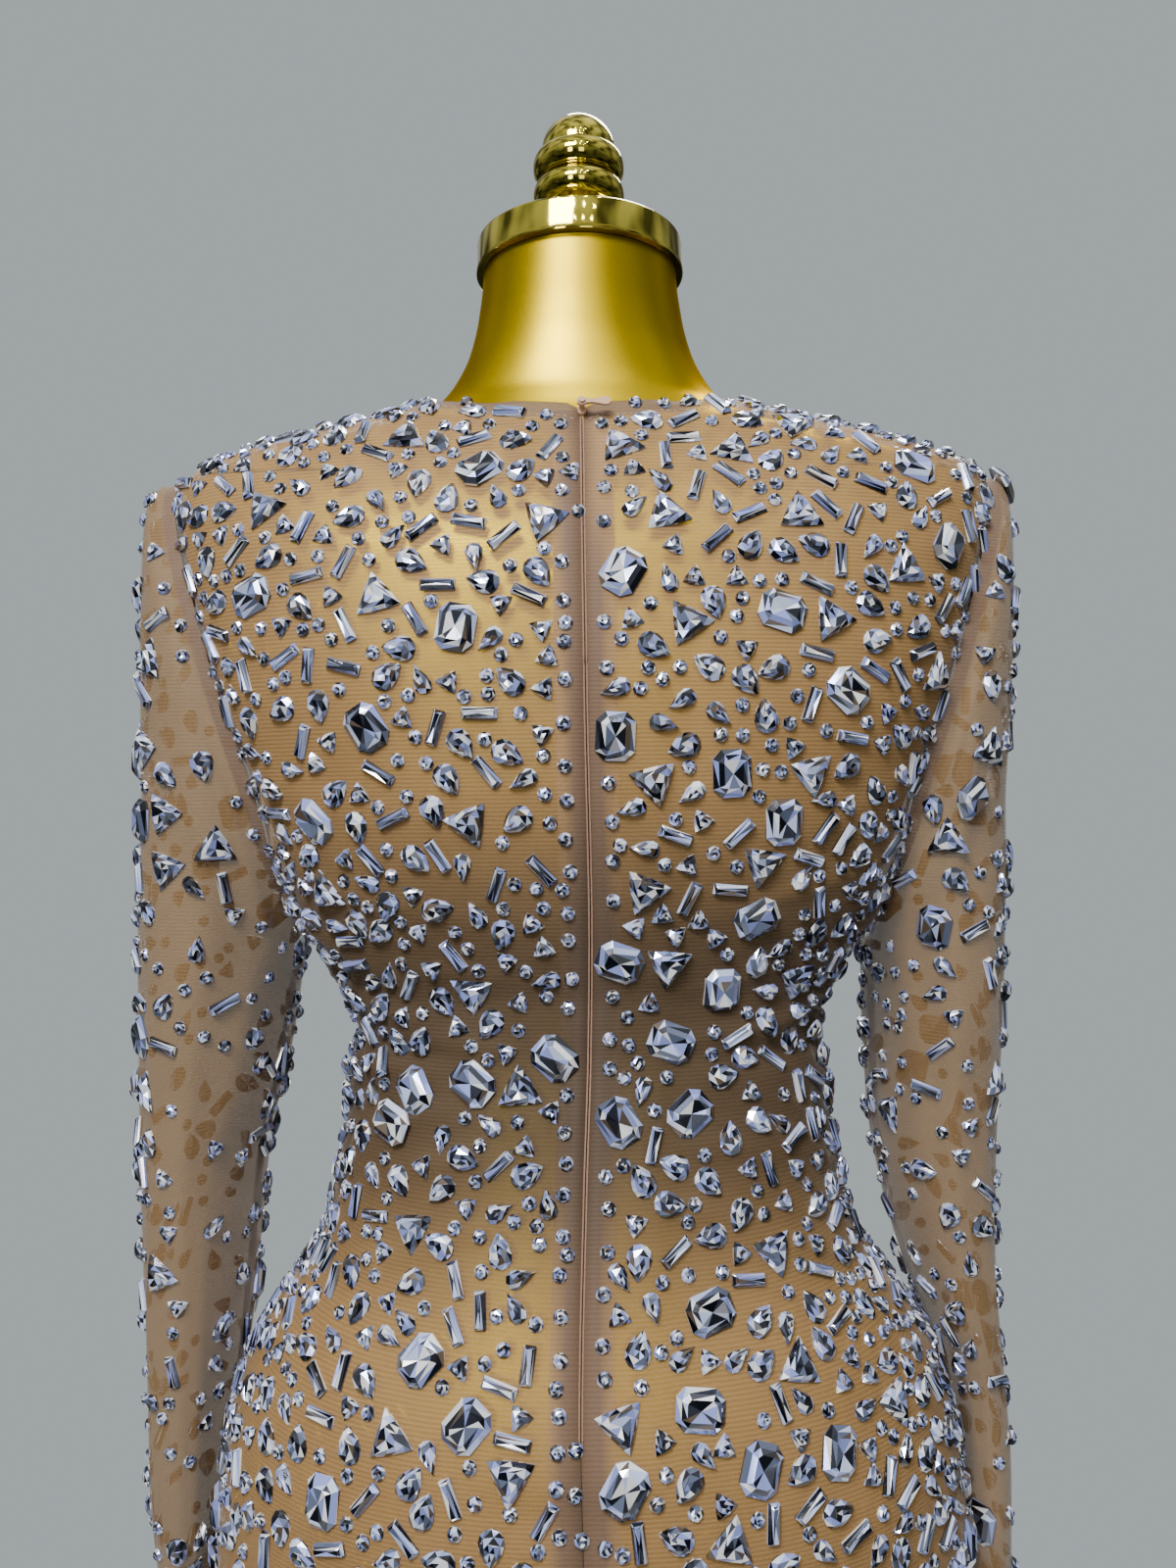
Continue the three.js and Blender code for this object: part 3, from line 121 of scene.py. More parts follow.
RIGHT_SLEEVE = [
    (206, 266, 148.5, 57, 50, 1), (210.5, 259, 149, 52, 53, 3), (212, 246, 149.2, 47, 55, 6),
    (212.5, 224, 149.4, 42, 57, 10), (212, 194, 149.5, 37, 58, 14), (211, 160, 149.5, 32, 58, 18),
    (210, 122, 149.5, 26, 57, 21), (210, 82, 150, 18, 56, 22), (209, 44, 150, 6, 55, 23),
    (208, 6, 150.5, -12, 54, 24), (207, -30, 151.5, -38, 52, 26), (206, -66, 153.5, -68, 50, 28),
    (205.5, -104, 161, -108, 49, 30), (206, -140, 172, -146, 49, 32),
    (207.5, -178, 184, -182, 49, 34), (212, -228, 186, -230, 48, 34),
    (213.5, -276, 184.5, -276, 44, 32), (214, -324, 184.5, -324, 40, 30)]
SLEEVE_POWER = 2.3
# Folds: around and drift in degrees, from ring, to ring, width in degrees, depth.
SLEEVE_FOLDS = [(60, 40, 2, 15, 24, 3), (118, -30, 3, 11, 22, 3.4), (20, 16, 5, 17, 20, 2.2),
                (300, -40, 2, 15, 24, 3), (242, 30, 3, 12, 22, 3.2)]
FINE_FOLDS = [
    (88, 22, 1.5, 9, 9, 1.5), (104, -14, 4, 14.5, 8, 1.3), (72, -20, 6, 17, 9, 1.2),
    (132, 18, 2, 8.5, 8, 1.6), (146, -24, 5, 12.5, 9, 1.4), (46, 12, 3, 11, 8, 1),
    (96, 10, 9.5, 17.6, 8, 1.1), (28, -18, 7.5, 16, 9, 1), (160, 16, 1.5, 7, 8, 1.5),
    (270, 20, 2, 10, 9, 1.4), (256, -16, 6, 15, 8, 1.2), (288, 14, 8, 17.5, 9, 1.1),
    (226, 18, 2, 9, 8, 1.4), (212, -14, 5.5, 13, 9, 1.3), (314, 16, 4, 13.5, 8, 1),
    (116, 8, 12, 17.8, 7, 1.2), (60, -10, 12.5, 17.7, 8, 0.9), (240, 12, 12, 17.6, 8, 1)]

# The charted large stones of the back: kind, x, above, turn.
BACK_STONES = """
t -78 271 115, o -44 253 -55, t -140 239 37, t -16 227 45, o -145 200 -70, t -87 196 13,
o -53 182 -10, o -92 141 30, t -49 100 82, o -119 101 40, t -115 69 5, t -50 25 58,
o -50 -15 51, o -14 -3 47, t -29 -17 4, o -86 -35 70, o -76 -20 35, t -76 -77 68,
o -70 -123 -40, o -50 -143 -40, t -82 -151 18, t -32 -159 58, o -111 -180 0, t -88 -208 40,
t 17 262 23, t 67 262 105, t 36 230 14, t 94 231 1, t 96 277 40, o 17 204 -32, t 44 183 34,
o 84 188 72, t 106 185 30, t 141 209 4, o 151 258 70, o 164 221 -35, o 113 155 50,
t 158 163 5, o 13 136 -3, t 29 117 73, o 62 120 3, t 97 120 71, o 85 99 3, t 76 81 51,
t 25 71 37, o 74 57 -65, o 14 40 68, t 35 38 54, t 93 28 65, o 59 25 0, o 36 3 68,
o 44 -28 -52, o 13 -30 30, t 79 -87 68, o 50 -105 -75, t 87 -129 106, t 12 -141 77,
o 44 -138 82, o 13 -163 -33, t 131 -154 72, o 68 -161 -20, o 102 -162 -15, t 55 -186 106,
o 18 -202 88
"""
# Large stones of a sleeve: kind, ring, degrees around, turn.
SLEEVE_STONES = [("t", 5, 112, 0), ("o", 8, 262, 53), ("t", 11, 53, 106), ("o", 14, 204, 159)]
# Large stones past the photo's edge follow an even sequence over turn and height: how many on the
# front and the skirt's back, degrees either side of the centre, twist from one to the next.
SEQUENCE_STEP = (0.7548776662, 0.5698402910)
FRONT_COUNT, SKIRT_COUNT = 22, 14
FRONT_SPREAD, SKIRT_SPREAD = 54, 78
FRONT_TWIST, SKIRT_TWIST = 41, 37
LOWEST_STONE, SKIRT_STONES_TOP, FRONT_STONES_TOP = HEM + 22, -215.0, 190.0
# How far stones stay from the centre seam and each other, and how much nearer they go to the neck.
SEAM_CLEAR, LARGE_SEAM_CLEAR, NECK_OVERHANG = 3.4, 13, 3
EDGE_GAP, ROUND_GAP, STONE_GAP = 0.6, 0.9, 1.4
ROUND, CROWN, CROWN_RISE = 3.2, 0.8, 0.62
# The rounds down both sides of the zip.
ROW_TOP, ROW_PAST_ZIP, ROW_ASIDE = 274.0, 60, 8.6
ROW_STRAY, ROW_PITCH = (-0.6, 1.4), (11, 19)
# Points tried at a time, tries for each stone wanted, depth in the cloth, spread of the painted
# reflections' brightness from stone to stone.
BATCH, TRIES, SEAT, REFLECTION_SPREAD = 4096, 45, 0.35, (0.75, 1.15)

# How deep the mesh is doubled at hem, neck, other edges, cuff, armhole and underarm seam.
HEM_TURN, NECK_TURN, EDGE_TURN, CUFF_TURN, CAP_TURN, SEAM_TURN = 15, 8, 5, 10, 6, 4
# The zip's facing: width on each back, how much wider lower down, from where, how soon.
FACING, FACING_MORE, FACING_TOP, FACING_RUN = {"back_left": 9.0, "back_right": 6.5}, 2.5, -90, 60
# Painted shade round the waist, where the form's hollow under the mesh lies in shade; the mesh is
# also denser there: how much, how far up and down.
WAIST_SHADE, WAIST_SHADE_REACH = 0.92, 94.0
FAR = 1e3

# The centre seam's two folds, the teeth at the zip's top, where they part, and the neck's stitches.
FOLD_ASIDE, FOLD_LIFT, FOLD_RADIUS = 0.62, 0.05, 0.42
TEETH_BELOW, TEETH_OVER, TEETH_PITCH, TEETH_LIFT, TOOTH_RADIUS = 26, 1.5, 1.1, 2.0, 0.42
TOOTH_REACH, PARTING, PARTING_BELOW, PARTING_RUN = (0.35, 2.0), 3.2, 5, 7
STITCH_PITCH, STITCH_LENGTH, STITCH_RADIUS = 3.1, 2.2, 0.22

# The rounded lower edge of the dress form.
EDGE_HEIGHT, EDGE_DEPTH = 12, 9
# The photo's camera, in pixels of the photo.
FOCAL_LENGTH, PHOTO_HEIGHT, SENSOR = 1130, 1600, 36.0


# ---- tables and sections

def curve(xs, ys):
    """A smooth, overshoot-free curve through sorted points, flat past its ends."""
    xs, ys = np.asarray(xs, float), np.asarray(ys, float)
    span = np.diff(xs)
    slope = np.diff(ys, axis=0) / span.reshape((-1,) + (1,) * (ys.ndim - 1))
    tangent = np.zeros_like(ys)
    both, total = slope[:-1] * slope[1:], slope[:-1] + slope[1:]
    tangent[1:-1] = np.where(both > 0, 2 * both / np.where(both > 0, total, 1.0), 0.0)

    def read(x):
        x = np.asarray(x, float)
        k = np.clip(np.searchsorted(xs, x, side="right") - 1, 0, len(xs) - 2)
        shape = x.shape + (1,) * (ys.ndim - 1)
        t = np.clip((x - xs[k]) / span[k], 0, 1).reshape(shape)
        width = span[k].reshape(shape)
        rise = ys[k + 1] - ys[k]
        return (ys[k] + rise * t * t * (3 - 2 * t) + width * tangent[k] * t * (1 - t) ** 2
                - width * tangent[k + 1] * t * t * (1 - t))
    return read


HALF, BACK, FRONT, POWER = (curve(SECTIONS[:, 0], SECTIONS[:, k]) for k in (1, 2, 3, 4))
DRIFT = curve(SEAM_DRIFT[:, 0], SEAM_DRIFT[:, 1])


def unit(v):
    return v / np.maximum(np.linalg.norm(v, axis=-1, keepdims=True), 1e-12)


def fade(t):
    """From 0 to 1, smoothly."""
    s = np.clip(t, 0, 1)
    return s * s * (3 - 2 * s)


def wrapped(angle):
    return np.arctan2(np.sin(angle), np.cos(angle))


def body_point(turn, above):
    turn, above = np.broadcast_arrays(np.asarray(turn, float), np.asarray(above, float))
    power = POWER(above)
    across, behind = np.sin(turn), np.cos(turn)
    scale = (np.abs(across) ** power + np.abs(behind) ** power) ** (-1 / power)
    x = HALF(above) * scale * across
    y = -np.where(behind > 0, BACK(above), FRONT(above)) * scale * behind
    up = (above - BUST["above"]) / BUST["height"]
    for side in (-1, 1):
        out = (x - side * BUST["across"]) / BUST["width"]
        swell = BUST["depth"] * -behind * np.exp(-out * out - up * up)
        y = y + np.where(behind < 0, swell, 0)
    return np.stack([x, y, WAIST_HEIGHT + above], -1)


def body_normal(turn, above):
    around = body_point(turn + 0.01, above) - body_point(turn - 0.01, above)
    up = body_point(turn, above + 1) - body_point(turn, above - 1)
    return unit(np.cross(around, up))


def turn_at_depth(above, depth, full):
    power = POWER(above)
    return np.arctan(np.maximum(0, (full / depth) ** power - 1) ** (1 / power))


def turn_across(above, x):
    power = POWER(above)
    reach = np.maximum(np.abs(x), 1e-6)
    inner = np.maximum((HALF(above) / reach) ** power - 1, 0)
    return np.sign(x) * (math.pi / 2 - np.arctan(inner ** (1 / power)))


def creases(turn, above, table):
    lift = np.zeros(np.broadcast(turn, above).shape)
    turned = np.degrees(wrapped(turn))
    for at, level, reach, climb, width, depth in table:
        along = ((turned - at + 180) % 360 - 180) / reach
        line = level + climb * along * math.copysign(1, at)
        off = (above - line) / width
        lift += np.where(np.abs(along) < 1, depth * (1 - along ** 2) * np.exp(-off * off), 0)
    return lift


def cloth_lift(turn, above):
    lift = creases(turn, above, WAIST_CREASES) + FINE_DEPTH * creases(turn, above, FINE_CREASES)
    x = body_point(turn, above)[..., 0]
    beyond = (np.abs(x - DRIFT(above)) - ZIP_LIFT_FLAT) / ZIP_LIFT_FADE
    strip = ZIP_LIFT * (1 - fade(beyond)) * fade((above - ZIP_LIFT_START) / ZIP_LIFT_RUN)
    return np.where(np.cos(turn) > 0, np.maximum(lift, strip), lift)


def cloth_point(turn, above, offset):
    normal = body_normal(turn, above)
    return body_point(turn, above) + normal * (cloth_lift(turn, above) + offset)[..., None]


# ---- meshes

def added(name, data):
    made = bpy.data.objects.new(name, data)
    bpy.context.scene.collection.objects.link(made)
    return made


def new_mesh(name, points, faces, smooth=True, attributes=(), sharp=None):
    """points in millimetres; faces is a list of integer arrays, one row a face."""
    mesh = bpy.data.meshes.new(name)
    counts = np.concatenate([np.full(len(f), f.shape[1]) for f in faces])
    corners = np.concatenate([f.ravel() for f in faces]).astype(np.int32)
    mesh.vertices.add(len(points))
    mesh.vertices.foreach_set("co", (np.asarray(points) / 1000).astype(np.float32).ravel())
    mesh.loops.add(len(corners))
    mesh.loops.foreach_set("vertex_index", corners)
    mesh.polygons.add(len(counts))
    starts = np.concatenate([[0], np.cumsum(counts)[:-1]]).astype(np.int32)
    mesh.polygons.foreach_set("loop_start", starts)
    mesh.polygons.foreach_set("use_smooth", np.full(len(counts), smooth))
    mesh.update(calc_edges=True)
    for label, kind, domain, values in attributes:
        made = mesh.attributes.new(label, kind, domain)
        field = "color" if kind == "FLOAT_COLOR" else "value"
        made.data.foreach_set(field, np.asarray(values, np.float32).ravel())
    if sharp:
        mesh.set_sharp_from_angle(angle=math.radians(sharp))
    return added(name, mesh)


def cell_faces(rows, columns, closed, start=0):
    """Quads of a grid of rows by columns points, facing column direction x row direction."""
    i, j = np.meshgrid(np.arange(rows - 1), np.arange(columns if closed else columns - 1),
                       indexing="ij")
    k = (j + 1) % columns
    corner = [i * columns + j, i * columns + k, (i + 1) * columns + k, (i + 1) * columns + j]
    return np.stack([c.ravel() for c in corner], -1) + start


def shell(name, outer, inner, closed, **shares):
    """A thin wall between two grids, with named values for its material."""
    rows, columns = outer.shape[:2]
    count = rows * columns
    faces = [cell_faces(rows, columns, closed),
             cell_faces(rows, columns, closed, count)[:, ::-1]]
    j = np.arange(columns if closed else columns - 1)
    k = (j + 1) % columns
    for start, order in ((0, -1), (count - columns, 1)):
        rim = np.stack([start + j, start + k, count + start + k, count + start + j], -1)
        faces.append(rim[:, ::order])
    if not closed:
        i = np.arange(rows - 1) * columns
        for column, order in ((0, 1), (columns - 1, -1)):
            low, high = i + column, i + columns + column
            faces.append(np.stack([low, high, count + high, count + low], -1)[:, ::order])
    points = np.concatenate([outer.reshape(-1, 3), inner.reshape(-1, 3)])
    values = [(label, "FLOAT", "POINT", np.tile(share.ravel(), 2))
              for label, share in shares.items()]
    return new_mesh(name, points, faces, attributes=values)


def round_solid(grid, ends):
    """Points and faces of a closed grid of rings whose ends are fans to two points."""
    rows, columns = grid.shape[:2]
    j = np.arange(columns)
    k = (j + 1) % columns
    count, last = rows * columns, (rows - 1) * columns
    return (np.concatenate([grid.reshape(-1, 3), ends]),
            [cell_faces(rows, columns, True), np.stack([np.full(columns, count), k, j], -1),
             np.stack([np.full(columns, count + 1), last + j, last + k], -1)])


def lathe(name, profile, height, steps=96):
    """A turned piece: profile is (radius, height) from the axis and back to it."""
    profile = np.array(profile, float)
    turn = np.linspace(0, 2 * math.pi, steps, endpoint=False)
    ring = profile[1:-1]
    grid = np.stack([ring[:, :1] * np.cos(turn), ring[:, :1] * np.sin(turn),
                     np.repeat(ring[:, 1:] + height, steps, 1)], -1)
    ends = [[0, 0, profile[0, 1] + height], [0, 0, profile[-1, 1] + height]]
    return new_mesh(name, *round_solid(grid, ends), sharp=32)


def tube(points, radius, sides):
    """Points and faces of a tube along a line, with its ends closed by fans."""
    points = np.asarray(points, float)
    along = unit(np.gradient(points, axis=0))
    aside = unit(np.cross(along, [0.0, 0.0, 1.0]) + 1e-9)
    third = np.cross(along, aside)
    turn = np.linspace(0, 2 * math.pi, sides, endpoint=False)[None, :, None]
    out = np.cos(turn) * aside[:, None] + np.sin(turn) * third[:, None]
    return round_solid(points[:, None] + radius * out, points[[0, -1]])


def joined(name, parts):
    """One mesh from many (points, faces) parts."""
    faces, start = {4: [], 3: []}, 0
    for points, own_faces in parts:
        for face in own_faces:
            faces[face.shape[1]].append(face + start)
        start += len(points)
    return new_mesh(name, np.concatenate([points for points, _ in parts]),
                    [np.concatenate(group) for group in faces.values()])


# ---- materials

def spaced(named):
    """Keywords as the names of sockets."""
    return {key.replace("_", " "): value for key, value in named.items()}


def material(name, colour, roughness, metallic=0.0, **sockets):
    """A material, its tree and its shader. A node linked to a socket later takes over its value."""
    made = bpy.data.materials.new(name)
    made.use_nodes = True
    shader = made.node_tree.nodes["Principled BSDF"]
    shader.inputs["Base Color"].default_value = (*colour, 1)
    shader.inputs["Roughness"].default_value = roughness
    shader.inputs["Metallic"].default_value = metallic
    for socket, value in spaced(sockets).items():
        shader.inputs[socket].default_value = value
    return made, made.node_tree, shader


def node(tree, kind, inputs=(), **settings):
    made = tree.nodes.new("ShaderNode" + kind)
    for key, value in settings.items():
        setattr(made, key, value)
    for key, value in dict(inputs).items():
        if hasattr(value, "is_output"):
            tree.links.new(value, made.inputs[key])
        else:
            made.inputs[key].default_value = value
    return made


def link(tree, shader, **sources):
    for socket, source in spaced(sources).items():
        tree.links.new(source, shader.inputs[socket])


def mapped(tree, value, low, high, **limits):
    return node(tree, "MapRange", {"Value": value, "To Min": low, "To Max": high,
                                   **spaced(limits)}).outputs["Result"]


def bump(tree, shader, height, distance, strength):
    made = node(tree, "Bump", {"Height": height, "Distance": distance, "Strength": strength})
    link(tree, shader, Normal=made.outputs["Normal"])


def position(tree):
    return node(tree, "TexCoord").outputs["Object"]


def noise(tree, scale, detail=2.0):
    return node(tree, "TexNoise", {"Vector": position(tree), "Scale": scale,
                                   "Detail": detail}).outputs["Fac"]


def waves(tree, scale, **more):
    """Level bands, from 0 to 1."""
    return node(tree, "TexWave", {"Vector": position(tree), "Scale": scale, **spaced(more)},
                bands_direction="Z").outputs["Fac"]


def attribute(tree, name, output="Fac"):
    return node(tree, "Attribute", attribute_name=name).outputs[output]


def colour_between(tree, factor, first, second):
    """A blend of a colour, or another node's output, with a colour."""
    if isinstance(first, (tuple, list)):
        first = (*first, 1)
    return node(tree, "Mix", {"Factor": factor, 6: first, 7: (*second, 1)},
                data_type="RGBA").outputs[2]


def paint(tree, shader, factor, first, second):
    link(tree, shader, Base_Color=colour_between(tree, factor, first, second))


def mesh_cloth_material(name="mesh_cloth", alpha=(0.32, 0.72), tone=1.0):
    """Sheer mesh, denser and browner where it is doubled, and round the waist denser and darkened
    by painted shade.
    """
    made, tree, shader = material(name, (0.46, 0.30, 0.21), 0.7, Sheen_Weight=0.2,
                                  Sheen_Roughness=0.4)
    courses = waves(tree, 175.0, Distortion=1.2, Detail=1.0, Detail_Scale=2.0)
    doubled, loose = attribute(tree, "double"), attribute(tree, "loose")
    bright, dull = ([tone * c for c in rgb] for rgb in ((0.62, 0.37, 0.155), (0.47, 0.27, 0.10)))
    colour = colour_between(tree, noise(tree, 26.0, 4.0), bright, dull)
    colour = colour_between(tree, doubled, colour, (0.20, 0.12, 0.073))
    # painted shade: round the waist the colour is blended towards a near black brown
    colour = colour_between(tree, loose, colour, (0.07, 0.044, 0.025))
    weave = mapped(tree, courses, -0.07, 0.07)
    total = node(tree, "Math", {0: mapped(tree, doubled, *alpha), 1: weave}, operation="ADD")
    # round the waist the mesh is also made denser
    dense = node(tree, "Math", {0: loose, 1: 0.22, 2: total.outputs[0]}, operation="MULTIPLY_ADD")
    link(tree, shader, Base_Color=colour, Alpha=dense.outputs[0])
    bump(tree, shader, courses, 0.0001, 0.5)
    return made


def woven_material(name, colour):
    made, tree, shader = material(name, colour, 0.8)
    paint(tree, shader, noise(tree, 900.0, 3.0), tuple(0.72 * c for c in colour), colour)
    bump(tree, shader, waves(tree, 420.0), 0.00015, 0.6)
    return made


MESH_CLOTH = mesh_cloth_material()
SLEEVE_CLOTH = mesh_cloth_material("mesh_cloth_sleeve", (0.40, 0.68), 0.6)
TAPE = woven_material("zip_tape", (0.36, 0.21, 0.14))
THREAD = woven_material("thread", (0.52, 0.36, 0.24))

ENAMEL, tree, shader = material("enamel", (0.60, 0.38, 0.23), 0.3, 0.1, Coat_Weight=0.5)
paint(tree, shader, noise(tree, 300.0), (0.54, 0.33, 0.19), (0.66, 0.43, 0.27))

SATIN_GOLD, tree, shader = material("satin_gold", (0.48, 0.32, 0.0), 0.34, 1.0,
                                    Specular_Tint=(0.9, 0.66, 0.12, 1))
flakes = noise(tree, 1500.0)
paint(tree, shader, flakes, (0.40, 0.27, 0.0), (0.53, 0.375, 0.004))
link(tree, shader, Roughness=mapped(tree, flakes, 0.28, 0.46))
bump(tree, shader, flakes, 0.00005, 0.5)

POLISHED_GOLD, tree, shader = material("polished_gold", (0.58, 0.46, 0.10), 0.05, 1.0)
haze = noise(tree, 60.0, 5.0)
paint(tree, shader, haze, (0.52, 0.44, 0.05), (0.66, 0.54, 0.09))
link(tree, shader, Roughness=mapped(tree, haze, 0.02, 0.11))

# Foil-backed glass. Each facet's base colour is a painted reflection, a tone from black to white
# that stands for the room the cut stones mirror in patches.
CRYSTAL, tree, shader = material("crystal", (0.5, 0.55, 0.65), 0.07, 0.3, Coat_Weight=1.0,
                                 Coat_Roughness=0.02)
link(tree, shader, Base_Color=attribute(tree, "facet_reflection", "Color"),
     Roughness=mapped(tree, noise(tree, 400.0), 0.03, 0.14))


def dressed(piece, look, slot, *nodes):
    piece.data.materials.append(look)
    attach(piece, BODY)
    if nodes:
        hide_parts(*nodes)


# ---- panels

def armhole_level(step):
    return (ARMPIT + SHOULDER_TIP) / 2 - (SHOULDER_TIP - ARMPIT) / 2 * np.cos(math.pi * step)


def side_edge(above, is_back):
    reach = (2 * above - ARMPIT - SHOULDER_TIP) / (SHOULDER_TIP - ARMPIT)
    full = ARMHOLE_BACK if is_back else ARMHOLE_FRONT
    depth = np.where(np.abs(reach) < 1, full * np.sqrt(np.maximum(0, 1 - reach * reach)), 0)
    body = BACK(above) if is_back else FRONT(above)
    return turn_at_depth(above, np.maximum(HALF_SEAM, depth), body)


def neck_level(turn, drop):
    low, high = np.zeros_like(turn), np.full_like(turn, math.pi / 2)
    for _ in range(30):
        sweep = (low + high) / 2
        above = NECK_SIDE - drop * np.cos(sweep)
        reach = np.minimum(NECK_HALF_WIDTH * np.sin(sweep), HALF(above) - 0.001)
        less = turn_across(above, reach) < turn
        low, high = np.where(less, sweep, low), np.where(less, high, sweep)
    return NECK_SIDE - drop * np.cos(low)


# Rows of the panels' grids, closer towards the waist.
ROW_RUNS = [(HEM, -215, 6), (-215, -130, 4), (-130, ARMPIT - 1, 3)]
SKIRT_LEVELS = np.concatenate([*(np.arange(*run) for run in ROW_RUNS), [ARMPIT]])
UPPER_LEVELS = np.concatenate([armhole_level(np.arange(1, 45) / 44),
                               np.linspace(SHOULDER_TIP, NECK_SIDE, 17)[1:]])
COLUMNS = np.interp(np.linspace(0, 8, 41), range(9), ACROSS)


def half_panel(across, is_back, centre_turn):
    """Turns and levels of half a panel's grid, blended between its four edges above the armpit."""
    level = SKIRT_LEVELS[:, None]
    start = centre_turn(level)
    skirt_turn = start + (side_edge(level, is_back) - start) * across
    skirt_above = np.broadcast_to(level, skirt_turn.shape)
    drop, tip_row = (BACK_NECK_DROP, BACK_TIP_ROW) if is_back else (FRONT_NECK_DROP, FRONT_TIP_ROW)
    neck_centre = NECK_SIDE - drop
    level = UPPER_LEVELS[:, None]
    lower = ARMPIT + (level - ARMPIT) * (tip_row - ARMPIT) / (SHOULDER_TIP - ARMPIT)
    upper = tip_row + (level - SHOULDER_TIP) * (neck_centre - tip_row) / (NECK_SIDE - SHOULDER_TIP)
    centre = np.where(level <= SHOULDER_TIP, lower, upper)
    up = (centre - ARMPIT) / (neck_centre - ARMPIT)
    neck_start, base_start = centre_turn(np.array(neck_centre)), centre_turn(np.array(ARMPIT))
    neck_side, base_side = side_edge(NECK_SIDE, is_back), side_edge(ARMPIT, is_back)
    neck_turn = neck_start + (neck_side - neck_start) * across
    neck_above = neck_level(neck_turn, drop)
    if is_back:
        from_zip = np.abs(neck_turn) * HALF(neck_centre)
        neck_above = neck_above - CORNER_DROP * np.maximum(0, 1 - from_zip / CORNER_REACH) ** 2
    base_turn = base_start + (base_side - base_start) * across

    def blend(bottom, top, left, right, c):
        return ((1 - up) * bottom + up * top + (1 - across) * left + across * right
                - (1 - across) * ((1 - up) * c[0] + up * c[1])
                - across * ((1 - up) * c[2] + up * c[3]))
    turn = blend(base_turn, neck_turn, centre_turn(centre), side_edge(level, is_back),
                 (base_start, neck_start, base_side, neck_side))
    above = blend(ARMPIT, neck_above, centre, level, (ARMPIT, neck_centre, ARMPIT, NECK_SIDE))
    return np.concatenate([skirt_turn, turn]), np.concatenate([skirt_above, above])


def edge_distances(grid):
    """How far each point is, along the grid, from its first and last row, then column."""
    found = []
    for axis in (0, 1):
        step = np.linalg.norm(np.diff(grid, axis=axis), axis=-1)
        along = np.insert(np.cumsum(step, axis), 0, 0, axis)
        found += [along, along.take([-1], axis) - along]
    return found


def band(distance, width, blur=1.5):
    """1 within a width of an edge, fading to 0 past it."""
    return 1 - fade((distance - width) / blur)


BACKS = (("back_left", -1), ("back_right", 1))
panels = {}
for label, side in BACKS:
    turn, above = half_panel(COLUMNS, True, lambda a: turn_across(a, side * DRIFT(a) + HALF_SEAM))
    if side < 0:
        turn, above = -turn[:, ::-1], above[:, ::-1]
    panels[label] = (turn, above)
half_turn, half_above = half_panel(COLUMNS, False, lambda a: np.zeros(np.shape(a)))
panels["front"] = (math.pi + np.concatenate([-half_turn[:, :0:-1], half_turn], 1),
                   np.concatenate([half_above[:, :0:-1], half_above], 1))

# The cut of each panel: width and length in metres, and its area.
CUTS = {"front": ((0.49, 0.88), 0.375), "back": ((0.25, 0.88), 0.19),
        "sleeve": ((0.48, 0.60), 0.145)}

# Each cloth's outer grid, and how far each of its points is from an edge that stones keep off.
surfaces = {}
for label, (turn, above) in panels.items():
    outer, inner = cloth_point(turn, above, CLOTH), cloth_point(turn, above, SHELL_INNER)
    hem, neck, first, last = edge_distances(outer)
    double = np.maximum.reduce([band(hem, HEM_TURN), band(neck, NECK_TURN), band(last, EDGE_TURN),
                                band(first, EDGE_TURN)])
    # painted shade round the waist, strongest at the waist line and fading out about a reach above
    # and below
    loose = WAIST_SHADE * np.exp(-(above / WAIST_SHADE_REACH) ** 4)
    near_centre = np.full(outer.shape[:2], FAR)
    if label != "front":
        near_centre = last if label == "back_left" else first
        wide = FACING[label] + FACING_MORE * fade((FACING_TOP - above) / FACING_RUN)
        double = np.maximum(double, band(near_centre, wide, 2.0))
    piece = shell("cloth_" + label, outer, inner, False, double=double, loose=loose)
    dressed(piece, MESH_CLOTH, "mesh_cloth", label)
    flat, area = CUTS[label.split("_")[0]]
    edge = np.minimum.reduce([hem, neck + NECK_OVERHANG, near_centre - SEAM_CLEAR])
    surfaces[label] = (outer, edge)


# ---- sleeves

def armhole_ring(around):
    middle = (ARMPIT + SHOULDER_TIP) / 2
    above = middle + (SHOULDER_TIP - ARMPIT) / 2 * np.cos(around)
    is_back = np.sin(around) >= 0
    full = np.where(is_back, BACK(above), FRONT(above))
    reach = np.abs(np.sin(around)) * np.where(is_back, ARMHOLE_BACK, ARMHOLE_FRONT)
    edge = turn_at_depth(above, np.maximum(HALF_SEAM, reach), full)
    turn = np.where(is_back, edge, math.pi - edge)
    point = body_point(turn, above)
    point[..., 0] += CLOTH * np.maximum(0, body_normal(turn, above)[..., 0]) + ARMHOLE_GAP
    return point


def ring_folds(ring, around, table):
    lift = np.zeros(np.broadcast(ring, around).shape)
    for at, drift, start, end, width, depth in table:
        along = (ring - start) / (end - start)
        centre = np.radians(at + drift * along)
        off = wrapped(around - centre) / math.radians(width)
        inside = (along > 0) & (along < 1)
        lift += np.where(inside, depth * np.sin(math.pi * along) * np.exp(-off * off), 0)
    return lift


